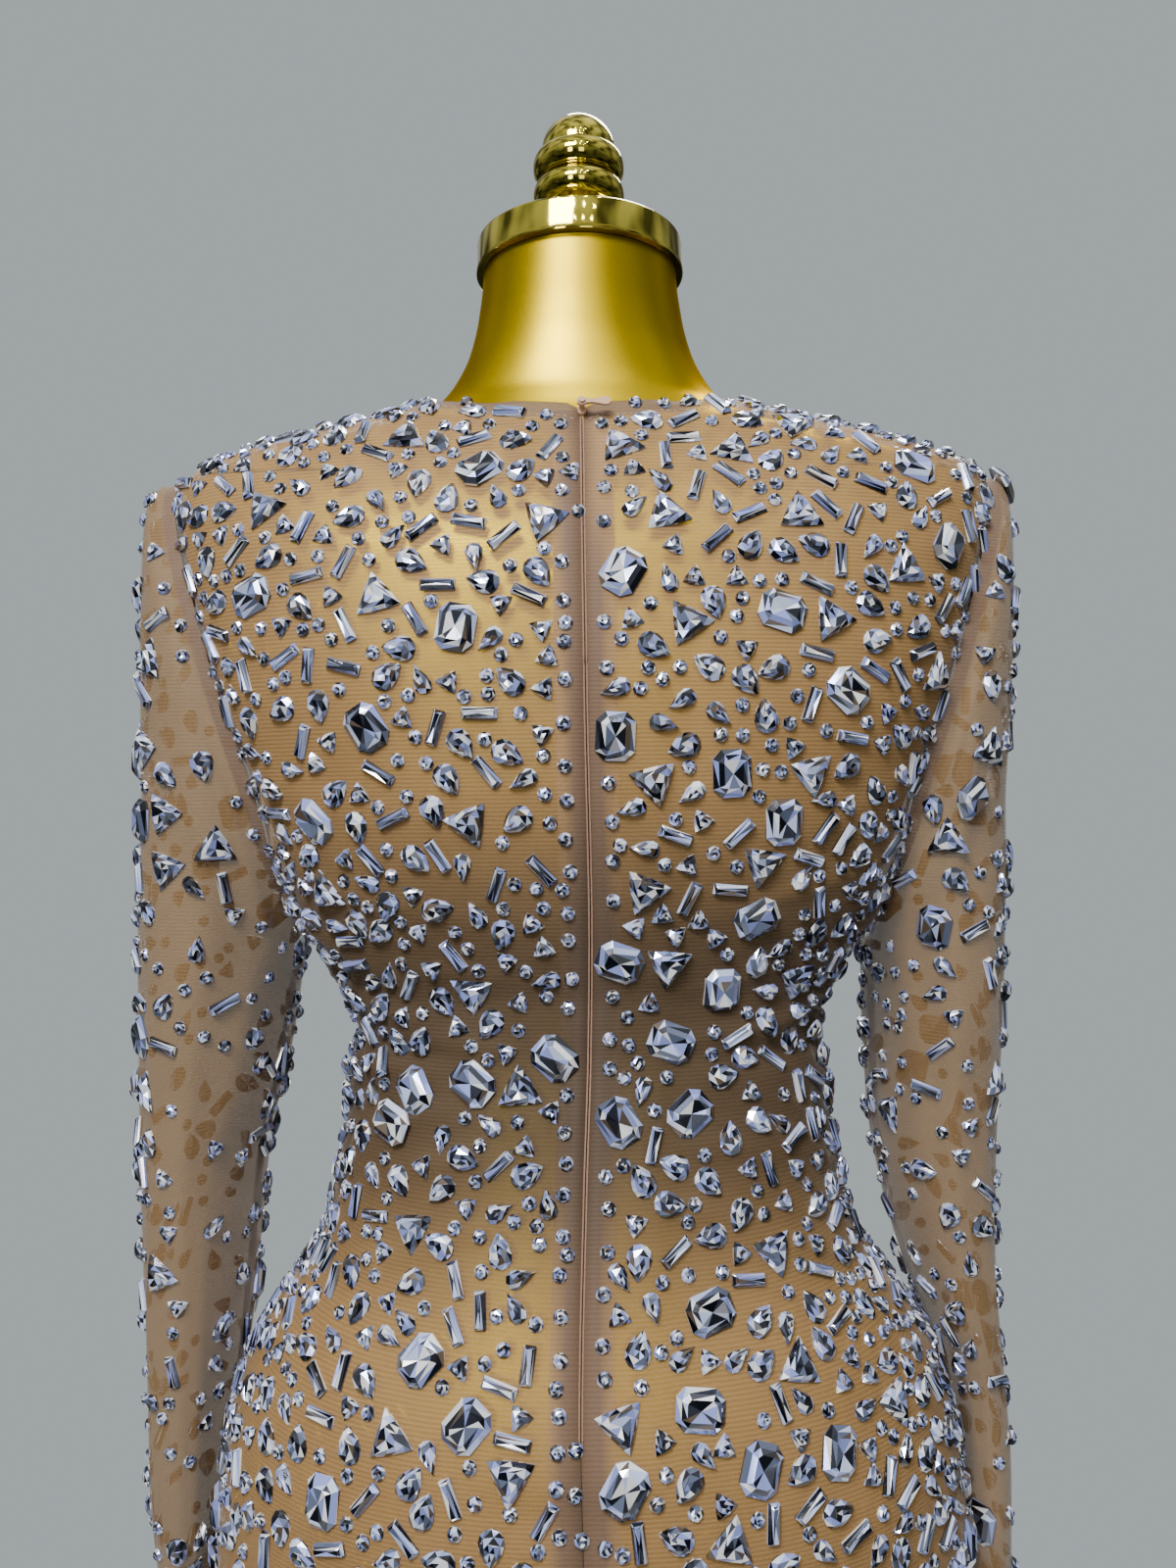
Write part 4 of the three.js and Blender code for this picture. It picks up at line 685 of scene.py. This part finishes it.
def sleeve_rings(table, around):
    rings = [armhole_ring(around)]
    out, behind = np.cos(around), np.sin(around)
    for ring, (out_x, out_above, in_x, in_above, depth, forward) in enumerate(table, 1):
        power = 2 + (SLEEVE_POWER - 2) * fade((ring - 2) / 5)
        scale = (np.abs(out) ** power + np.abs(behind) ** power) ** (-1 / power)
        swell = ring_folds(float(ring), around, SLEEVE_FOLDS)
        x = (out_x + in_x) / 2 + ((out_x - in_x) / 2 + swell) * scale * out
        above = (out_above + in_above) / 2 + (out_above - in_above) / 2 * scale * out
        rings.append(np.stack([x, forward - (depth + swell) * scale * behind,
                               WAIST_HEIGHT + above], -1))
    return np.array(rings)


def ring_normals(grid):
    across = np.roll(grid, -1, 1) - np.roll(grid, 1, 1)
    return unit(np.cross(across, np.gradient(grid, axis=0)))


RING_STEPS = np.concatenate([np.linspace(0, 2, 17)[:-1], np.linspace(2, 18, 129)])
AROUND = np.linspace(0, 2 * math.pi, 72, endpoint=False)
sleeve_surface = {}
for label, table, side in (("left", LEFT_SLEEVE, -1), ("right", RIGHT_SLEEVE, 1)):
    around = AROUND if side > 0 else -AROUND
    rings = sleeve_rings(table, around)
    grid = curve(np.arange(len(rings)), rings)(RING_STEPS)
    grid[..., 0] *= side
    normal = ring_normals(grid)
    fine = ring_folds(RING_STEPS[:, None], around[None, :], FINE_FOLDS)
    reach = (CLOTH + fine * fade(RING_STEPS / 2)[:, None])[..., None]
    outer, inner = grid + normal * reach, grid + normal * (reach - CLOTH + SHELL_INNER)
    top, cuff = edge_distances(outer)[:2]
    girth = np.linalg.norm(np.roll(outer, -1, 1) - outer, axis=-1).sum(1)[:, None]
    seam = np.abs(wrapped(around - math.pi))[None, :] * girth / (2 * math.pi)
    double = np.maximum.reduce([band(top, CAP_TURN), band(cuff, CUFF_TURN), band(seam, SEAM_TURN)])
    piece = shell("cloth_sleeve_" + label, outer, inner, True, double=double)
    dressed(piece, SLEEVE_CLOTH, "mesh_cloth", "sleeve_" + label)
    flat, area = CUTS["sleeve"]
    surfaces["sleeve_" + label] = (outer, np.minimum(top, cuff))
    sleeve_surface[label] = (outer, around)


# ---- stones

def stone(rings, middle, dimple):
    """Points and triangles of a stone from rings of (outline, height), foot first. Each has as many
    points as the one below it, or half."""
    points, faces, start = [], [], 0
    for outline, height in rings:
        points.append(np.column_stack([outline, np.full(len(outline), height)]))
    for (below, _), (above, _) in zip(rings, rings[1:]):
        n, m = len(below), len(above)
        for k in range(m):
            here, there = start + n + k, start + n + (k + 1) % m
            low = [start + (n // m * k + step) % n for step in (0, 1, 2)]
            if m == n:
                faces += [(low[0], low[1], there), (low[0], there, here)]
            else:
                faces += [(low[0], low[1], here), (low[1], low[2], there), (low[1], there, here)]
        start += n
    n, foot = len(rings[-1][0]), len(rings[0][0])
    top = start + n
    faces += [(start + k, start + (k + 1) % n, top) for k in range(n)]
    faces += [(top + 1, (k + 1) % foot, k) for k in range(foot)]
    ends = [[*middle, rings[-1][1] - dimple], [*middle, rings[0][1]]]
    return np.concatenate(points + [np.array(ends)]), np.array(faces)


def brilliant(outline, height, girdle=0.9, table=0.52, dimple=0.3):
    """A stone of two rows of crown facets round a small table. Its outline has an even count."""
    outline = np.array(outline, float)
    middle = outline.mean(0)
    half = (outline[::2] + outline[1::2]) / 2
    crown = middle + CROWN * (half - middle)
    tops = middle + table * ((crown + np.roll(crown, -1, 0)) / 2 - middle) / CROWN
    rim = girdle + CROWN_RISE * (height - girdle)
    return stone([(outline, 0), (outline, girdle), (crown, rim), (tops, height)], middle, dimple)


def step_cut(width, length, cut, height, girdle, step, dimple):
    """A clipped oblong stone with two steps round a long table."""
    rings = [(clipped(width, length, cut), 0), (clipped(width, length, cut), girdle)]
    for k, share in ((1, 0.6), (2, 1)):
        inset = clipped(width - 2 * k * step, length - 2 * k * step, cut * (1 - 0.3 * k))
        rings.append((inset, girdle + share * (height - girdle)))
    return stone(rings, (0, 0), dimple)


def between_corners(corners, steps, bulge):
    """Points along the sides of a polygon, each side bowed out by a share of its length."""
    corners = np.array(corners, float)
    points = []
    for here, side in zip(corners, np.roll(corners, -1, 0) - corners):
        out = np.array([side[1], -side[0]])
        for t in np.arange(steps) / steps:
            points.append(here + side * t + out * bulge * 4 * t * (1 - t))
    return points


def drop_outline(width, length, slim, count=12):
    """A drop with its point at +y."""
    turn = np.linspace(0, 2 * math.pi, count, endpoint=False)
    x = -np.sin(turn) * np.sin(turn / 2) ** slim
    x = x / np.abs(x).max() * width / 2
    return np.column_stack([x, length / 2 * np.cos(turn)])


def corners_at(count, radius):
    turn = np.radians(90 + 360 / count * np.arange(count))
    return np.column_stack([radius * np.cos(turn), radius * np.sin(turn)])


def clipped(width, length, cut):
    """An oblong with its corners cut off."""
    x, y = width / 2, length / 2
    half = np.array([(x, -y + cut), (x, y - cut), (x - cut, y), (-x + cut, y)])
    return np.concatenate([half, -half])


# The shapes of each kind, and the circles that stand for it when stones are spaced: x, y, radius.
STONES = {
    "r": (brilliant(corners_at(12, ROUND), 2.7, 0.8, 0.55), [(0, 0, ROUND)]),
    "b": (step_cut(5.3, 15.5, 0.5, 3.2, 1.0, 0.75, 0.7), [(0, -5, 2.8), (0, 0, 2.8), (0, 5, 2.8)]),
    "p": (brilliant(drop_outline(10.8, 14.8, 0.75, 14), 4.0, 1.0), [(0, -2, 5.2), (0, 4.2, 2.2)]),
    "d": (brilliant(drop_outline(7.8, 13.2, 1.5), 3.6, 1.0, 0.5), [(0, -2.6, 3.8), (0, 3.8, 1.5)]),
    "y": (brilliant(between_corners(corners_at(3, 5.6), 4, 0.07), 3.4), [(0, 0, 4.7)]),
    "t": (brilliant(between_corners(corners_at(3, 11.2), 6, 0.03), 4.3, 1.1, 0.56, 0.45),
          [(0, 0, 6.6), (0, 7.2, 2.4), (6.2, -3.6, 2.4), (-6.2, -3.6, 2.4)]),
    "o": (step_cut(16.6, 20.5, 3.9, 4.5, 1.2, 2.1, 1.3), [(0, 4, 8.6), (0, -4, 8.6)]),
}
# Painted reflections: base colours for the stones' facets, from black through blue to white, and
# how often each is drawn.
FACET_REFLECTIONS = np.array([(0.004, 0.005, 0.01), (0.03, 0.034, 0.05), (0.13, 0.155, 0.24),
                        (0.31, 0.37, 0.76), (0.62, 0.70, 1.0), (1.0, 1.0, 1.0),
                        (0.12, 0.085, 0.06)])
REFLECTION_SHARES = [0.18, 0.16, 0.16, 0.16, 0.15, 0.14, 0.05]
# The circles placed so far, in cells of space so that near ones are quickly found.
CELL = 24.0
taken = {}


def cell_of(place):
    return tuple(int(c // CELL) for c in place)


def circles_of(kind, place, right, top):
    return [(place + right * x + top * y, r) for x, y, r in STONES[kind][1]]


def keep_clear(circles):
    for centre, radius in circles:
        taken.setdefault(cell_of(centre), []).append((*centre, radius))


def is_free(circles, gap):
    for centre, radius in circles:
        near = [(c - 1, c, c + 1) for c in cell_of(centre)]
        for cell in product(*near):
            for x, y, z, r in taken.get(cell, ()):
                dx, dy, dz = centre[0] - x, centre[1] - y, centre[2] - z
                if dx * dx + dy * dy + dz * dz < (radius + r + gap) ** 2:
                    return False
    return True


def basis(normal, turn):
    """Right and top of a stone that lies on the cloth, turned by degrees."""
    right = unit(np.cross([0.0, 0.0, 1.0], normal))
    top = np.cross(normal, right)
    c, s = math.cos(math.radians(turn)), math.sin(math.radians(turn))
    return right * c + top * s, top * c - right * s


placed = {label: [] for label in surfaces}


def put(label, kind, place, normal, turn, gap=None):
    """Places a stone, or refuses where a gap is asked for and isn't there."""
    right, top = basis(normal, turn)
    circles = circles_of(kind, place, right, top)
    if gap is not None and not is_free(circles, gap):
        return False
    keep_clear(circles)
    placed[label].append((kind, place, right, top, normal))
    return True


def on_body(turn, above):
    return cloth_point(turn, above, CLOTH), body_normal(turn, above)


def on_back(x, above):
    return on_body(turn_across(above, x), above)


for entry in BACK_STONES.split(","):
    kind, x, above, turn = entry.split()
    x, above = float(x), float(above)
    put("back_left" if x < 0 else "back_right", kind, *on_back(x, above), float(turn))
for k in range(FRONT_COUNT):
    fx, fy = ((0.5 + k * step) % 1 for step in SEQUENCE_STEP)
    if k < SKIRT_COUNT:
        turn = math.radians(SKIRT_SPREAD * (2 * fx - 1))
        above = LOWEST_STONE + (SKIRT_STONES_TOP - LOWEST_STONE) * fy
        place, normal = on_body(turn, above)
        if abs(place[0] - DRIFT(above)) > LARGE_SEAM_CLEAR:
            back = "back_left" if turn < 0 else "back_right"
            put(back, "to"[k % 2], place, normal, SKIRT_TWIST * k)
    turn = math.pi + math.radians(FRONT_SPREAD * (2 * fx - 1))
    above = LOWEST_STONE + (FRONT_STONES_TOP - LOWEST_STONE) * fy
    put("front", "ot"[k % 2], *on_body(turn, above), FRONT_TWIST * k)
for label, (outer, around) in sleeve_surface.items():
    normals = ring_normals(outer)
    for kind, ring, at, turn in SLEEVE_STONES:
        i = np.argmin(np.abs(RING_STEPS - ring))
        j = np.argmin(np.abs(np.cos(around - math.radians(at)) - 1))
        put("sleeve_" + label, kind, outer[i, j], normals[i, j], turn)

# The slider and the pull tab keep their place, and rounds run down both sides of the zip.
for x in (-2, 3, 8, 13):
    keep_clear([(on_back(x, SLIDER_LEVEL)[0], ROUND)])
for label, side in BACKS:
    above = ROW_TOP
    while above > ZIP_END - ROW_PAST_ZIP:
        x = DRIFT(above) + side * (ROW_ASIDE + RNG.uniform(*ROW_STRAY))
        put(label, "r", *on_back(x, above), RNG.uniform(0, 360), EDGE_GAP)
        above -= RNG.uniform(*ROW_PITCH)

# Stones per square metre of each kind, placed from the largest to the smallest.
DENSITY = [("o", 200), ("t", 210), ("p", 800), ("b", 800), ("d", 540), ("y", 640), ("r", 2100)]
SLEEVE_SHARE = 0.46
for kind, density in DENSITY:
    for label, (outer, edge) in surfaces.items():
        part = 1
        if label.startswith("sleeve"):
            part = SLEEVE_SHARE
            outer, edge = (np.concatenate([g, g[:, :1]], 1) for g in (outer, edge))
        a, b = outer[:-1, :-1], outer[:-1, 1:]
        c, d = outer[1:, :-1], outer[1:, 1:]
        area = np.linalg.norm(np.cross(d - a, c - b), axis=-1) / 2
        share = np.cumsum(area.ravel()) / area.sum()
        have = sum(entry[0] == kind for entry in placed[label])
        want = int(density * part * area.sum() / 1e6) - have
        reach = max(abs(y) + r for _, y, r in STONES[kind][1])
        made, tries = 0, 0
        while made < want and tries < want * TRIES:
            cell = np.searchsorted(share, RNG.random(BATCH))
            i, j = np.unravel_index(np.minimum(cell, area.size - 1), area.shape)
            u, v = RNG.random((BATCH, 1)), RNG.random((BATCH, 1))
            place = ((1 - u) * (1 - v) * a[i, j] + u * (1 - v) * b[i, j]
                     + (1 - u) * v * c[i, j] + u * v * d[i, j])
            normal = unit(np.cross(d[i, j] - a[i, j], c[i, j] - b[i, j]))
            away, turns = edge[i, j], RNG.uniform(0, 360, BATCH)
            charted = (place[:, 2] > WAIST_HEIGHT + SKIRT_STONES_TOP) & label.startswith("back")
            for k in range(BATCH):
                tries += 1
                if made >= want or tries >= want * TRIES:
                    break
                if away[k] < reach + EDGE_GAP or (kind in "ot" and charted[k]):
                    continue
                gap = ROUND_GAP if kind == "r" else STONE_GAP
                made += put(label, kind, place[k], normal[k], turns[k], gap)

for label, entries in placed.items():
    start, points, faces, painted_reflections = 0, [], [], []
    for kind, ((shape, facets), _) in STONES.items():
        chosen = [e for e in entries if e[0] == kind]
        if not chosen:
            continue
        place, right, top, normal = (np.array([e[k] for e in chosen]) for k in (1, 2, 3, 4))
        seat = place - SEAT * normal
        moved = (seat[:, None] + shape[None, :, :1] * right[:, None]
                 + shape[None, :, 1:2] * top[:, None] + shape[None, :, 2:] * normal[:, None])
        shift = start + np.arange(len(chosen))[:, None, None] * len(shape)
        points.append(moved.reshape(-1, 3))
        faces.append((facets[None] + shift).reshape(-1, 3))
        start += len(points[-1])
        # painted reflection: each facet gets one of these tones, and each stone a brightness of its
        # own
        tone = FACET_REFLECTIONS[RNG.choice(len(FACET_REFLECTIONS), (len(chosen), len(facets)), p=REFLECTION_SHARES)]
        tone = tone * RNG.uniform(*REFLECTION_SPREAD, (len(chosen), 1, 1))
        painted_reflections.append(np.concatenate([tone, np.ones((*tone.shape[:2], 1))], -1).reshape(-1, 4))
    facet_reflection = ("facet_reflection", "FLOAT_COLOR", "FACE", np.clip(np.concatenate(painted_reflections), 0, 1))
    piece = new_mesh("stones_" + label, np.concatenate(points), [np.concatenate(faces)],
                     smooth=False, attributes=[facet_reflection])
    dressed(piece, CRYSTAL, "crystal")


# ---- zip and stitching

def zip_line(levels, across, lift):
    turn = turn_across(levels, DRIFT(levels) + across)
    return cloth_point(turn, levels, CLOTH + lift)


levels = np.linspace(ZIP_END, ZIP_TOP - 3, 160)
folds = [tube(zip_line(levels, side * FOLD_ASIDE, FOLD_LIFT), FOLD_RADIUS, 8) for side in (-1, 1)]
dressed(joined("zip_folds", folds), TAPE, "zip_tape")

teeth = []
for level in np.arange(ZIP_TOP - TEETH_BELOW, ZIP_TOP + TEETH_OVER, TEETH_PITCH):
    open_by = PARTING * fade((level - ZIP_TOP + PARTING_BELOW) / PARTING_RUN)
    for side in (-1, 1):
        at = np.array([level, level])
        turn = turn_across(at, DRIFT(at) + side * (np.array(TOOTH_REACH) + open_by))
        line = body_point(turn, at) + body_normal(turn, at) * TEETH_LIFT
        teeth.append(tube(line, TOOTH_RADIUS, 6))
dressed(joined("zip_teeth", teeth), THREAD, "zip_tape")


def stitches(line):
    """Short raised threads along a line of points."""
    step = np.linalg.norm(np.diff(line, axis=0), axis=1)
    along = np.concatenate([[0], np.cumsum(step)])
    made = []
    for start in np.arange(STITCH_PITCH, along[-1] - STITCH_PITCH, STITCH_PITCH):
        t = start + np.array([0, 0.5, 1]) * STITCH_LENGTH
        thread = np.stack([np.interp(t, along, line[:, k]) for k in range(3)], -1)
        made.append(tube(thread, STITCH_RADIUS, 6))
    return made


seams = []
for label in panels:
    outer = surfaces[label][0]
    row = np.argmin(np.abs(edge_distances(outer)[1] - NECK_TURN), axis=0)
    seams += stitches(outer[row, np.arange(outer.shape[1])])
dressed(joined("neck_stitches", seams), THREAD, "zip_tape")

for name, look in (("zip_tape_left", TAPE), ("zip_tape_right", TAPE), ("zip_slider", ENAMEL),
                   ("zip_pull", ENAMEL)):
    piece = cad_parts[name]
    piece.data.materials.clear()
    piece.data.materials.append(look)
    if look is ENAMEL:
        edge = piece.modifiers.new("edge", "BEVEL")
        edge.width, edge.segments, edge.limit_method = 0.00022, 2, "ANGLE"


# ---- dress form

edge_top = FORM_BOTTOM + EDGE_HEIGHT
form_levels = np.concatenate([np.linspace(FORM_BOTTOM, edge_top, 7), np.arange(-314, 200, 5.0),
                              np.arange(200, NECK_TOP, 2.2), [NECK_TOP]])
form_turn = np.linspace(0, 2 * math.pi, 144, endpoint=False)
turn, above = np.meshgrid(form_turn, form_levels)
down = ((edge_top - above) / EDGE_HEIGHT).clip(0, 1)
inset = FORM_INSET + EDGE_DEPTH * (1 - np.sqrt(np.clip(1 - down ** 2, 0, 1)))
grid = body_point(turn, above) - body_normal(turn, above) * inset[..., None]
grid[0, :, 2], grid[-1, :, 2] = WAIST_HEIGHT + FORM_BOTTOM, WAIST_HEIGHT + NECK_TOP
form = new_mesh("form_gold", *round_solid(grid, [grid[0].mean(0), grid[-1].mean(0)]), sharp=50)
dressed(form, SATIN_GOLD, "satin_gold", "form_torso")


def arc(centre, reach, inner, outer):
    """A round bead in a turned profile."""
    turn = np.linspace(-math.pi / 2, math.pi / 2, 15)
    return [(inner + (outer - inner) * math.cos(t), centre + reach * math.sin(t)) for t in turn]


cap_bottom = WAIST_HEIGHT + NECK_TOP + FIT
pole_length = WAIST_HEIGHT + FORM_BOTTOM - FIT - BASE_HEIGHT - FIT
crown = [(18.6 * math.cos(t), 47 + 17 * math.sin(t)) for t in np.linspace(0, 1.45, 14)]
# Turned pieces: name, node, height of the foot, steps round it, profile.
TURNED = [
    ("cap_gold", "neck_cap", cap_bottom, 96,
     [(0, 0), (51.2, 0), (51.9, 0.3), (52, 0.8), (52, 1.7), (51.6, 2.1), (51.3, 2.4), (51.3, 14.3),
      (51.1, 15.2), (50.4, 15.9), (49.3, 16.4), (0, CAP_HEIGHT)]),
    ("finial_gold", "finial", cap_bottom + (CAP_HEIGHT + FIT), 96,
     [(0, 0), (15.7, 0), (15.7, 16.5), *arc(24.5, 6.8, 18, 23), *arc(38.5, 7, 18.5, 23), *crown,
      (0, 64)]),
    ("pole_gold", "pole", BASE_HEIGHT + FIT, 96,
     [(0, 0), (13.6, 0), (14, 0.4), (14, pole_length - 18), (14.8, pole_length - 15),
      (17, pole_length - 12), (37, pole_length - 7.4), (38, pole_length - 6.6),
      (38, pole_length - 0.6), (37.4, pole_length), (0, pole_length)]),
    ("base_gold", "base", 0, 128,
     [(0, 0), (173.5, 0), (174.7, 0.5), (175, 1.5), (175, 5), (174, 6.3), (172, 7), (122.5, 11),
      (61, 15), (36, 18.4), (34, 19), (31.5, 21), (30, 21.8), (29, 22), (0, BASE_HEIGHT)])]
for name, solid, foot, steps, profile in TURNED:
    dressed(lathe(name, profile, foot, steps), POLISHED_GOLD, "polished_gold", solid)


# ---- stage, light and camera

floor = lathe("floor", [(0, -6), (1050, -6), (1050, -0.5), (0, -0.5)], 0)
pale, tree, shader = material("floor", (0.55, 0.57, 0.58), 0.7)
paint(tree, shader, noise(tree, 8.0), (0.53, 0.55, 0.56), (0.58, 0.60, 0.61))
floor.data.materials.append(pale)

# A plain pale backdrop, lit by a room that is dark low down, bright overhead and cluttered.
world = bpy.data.worlds.new("studio")
bpy.context.scene.world = world
world.use_nodes = True
tree = world.node_tree
direction = node(tree, "TexCoord").outputs["Generated"]
split = node(tree, "SeparateXYZ", {"Vector": direction})
level = mapped(tree, split.outputs["Z"], 0.0, 1.0, From_Min=-1.0)
ramp = node(tree, "ValToRGB", {"Fac": level})
ROOM = [(0.0, (0.03, 0.035, 0.03)), (0.36, (0.04, 0.045, 0.04)), (0.50, (0.085, 0.09, 0.09)),
        (0.64, (0.16, 0.17, 0.175)), (0.80, (0.36, 0.38, 0.39)), (1.0, (0.75, 0.77, 0.8))]
elements = ramp.color_ramp.elements
while len(elements) < len(ROOM):
    elements.new(0.5)
for element, (at, colour) in zip(elements, ROOM):
    element.position, element.color = at, (*colour, 1)
clutter = node(tree, "TexNoise", {"Vector": direction, "Scale": 2.6, "Detail": 1.5})
uneven = mapped(tree, clutter.outputs["Fac"], 0.25, 1.9, From_Min=0.38, From_Max=0.62)
room = node(tree, "VectorMath", {0: ramp.outputs["Color"], "Scale": uneven}, operation="SCALE")
seen = node(tree, "LightPath").outputs["Is Camera Ray"]
backdrop = colour_between(tree, seen, room.outputs["Vector"], (0.40, 0.445, 0.46))
link(tree, tree.nodes["Background"], Color=backdrop)

# Area lights: name, place, aim, width, height, watts.
LIGHTS = [
    ("key", (-0.5, -1.4, 2.45), (0, -0.05, 1.15), 0.7, 0.45, 42),
    ("fill", (0.3, -2.4, 1.6), (0, 0, 1.1), 0.5, 0.9, 4),
    ("left", (-0.8, -2.3, 1.7), (0, 0, 1.1), 0.4, 0.9, 13),
    ("rear", (0.35, 1.3, 2.9), (0, 0, 1.2), 1.0, 0.7, 40),
    ("rear_fill", (-0.6, 2.3, 1.6), (0, 0, 1.1), 0.7, 1.0, 9)]
CEILING = [(x, y) for y in (-0.8, -1.15, -1.5) for x in (-0.36, -0.12, 0.12, 0.36)]
LIGHTS += [("ceiling_%d" % k, (x, y, 2.3), (x, y, 0), 0.035, 0.035, 0.8)
           for k, (x, y) in enumerate(CEILING)]
for name, place, aim, width, tall, watts in LIGHTS:
    lamp = bpy.data.lights.new(name, "AREA")
    lamp.shape, lamp.size, lamp.size_y, lamp.energy = "RECTANGLE", width, tall, watts
    lit = added(name, lamp)
    lit.location = place
    x, y, z = (p - q for p, q in zip(place, aim))
    lit.rotation_euler = (math.atan2(math.hypot(x, y), z), 0, math.atan2(x, -y))

camera = bpy.data.cameras.new("camera")
camera.sensor_width = SENSOR
camera.lens = SENSOR * FOCAL_LENGTH / PHOTO_HEIGHT
camera.clip_start, camera.clip_end = 0.01, 50
eye = added("camera", camera)
eye.location = (0.0015, -0.56, 1.2)
eye.rotation_euler = (math.pi / 2, math.radians(0.6), 0)
bpy.context.scene.camera = eye
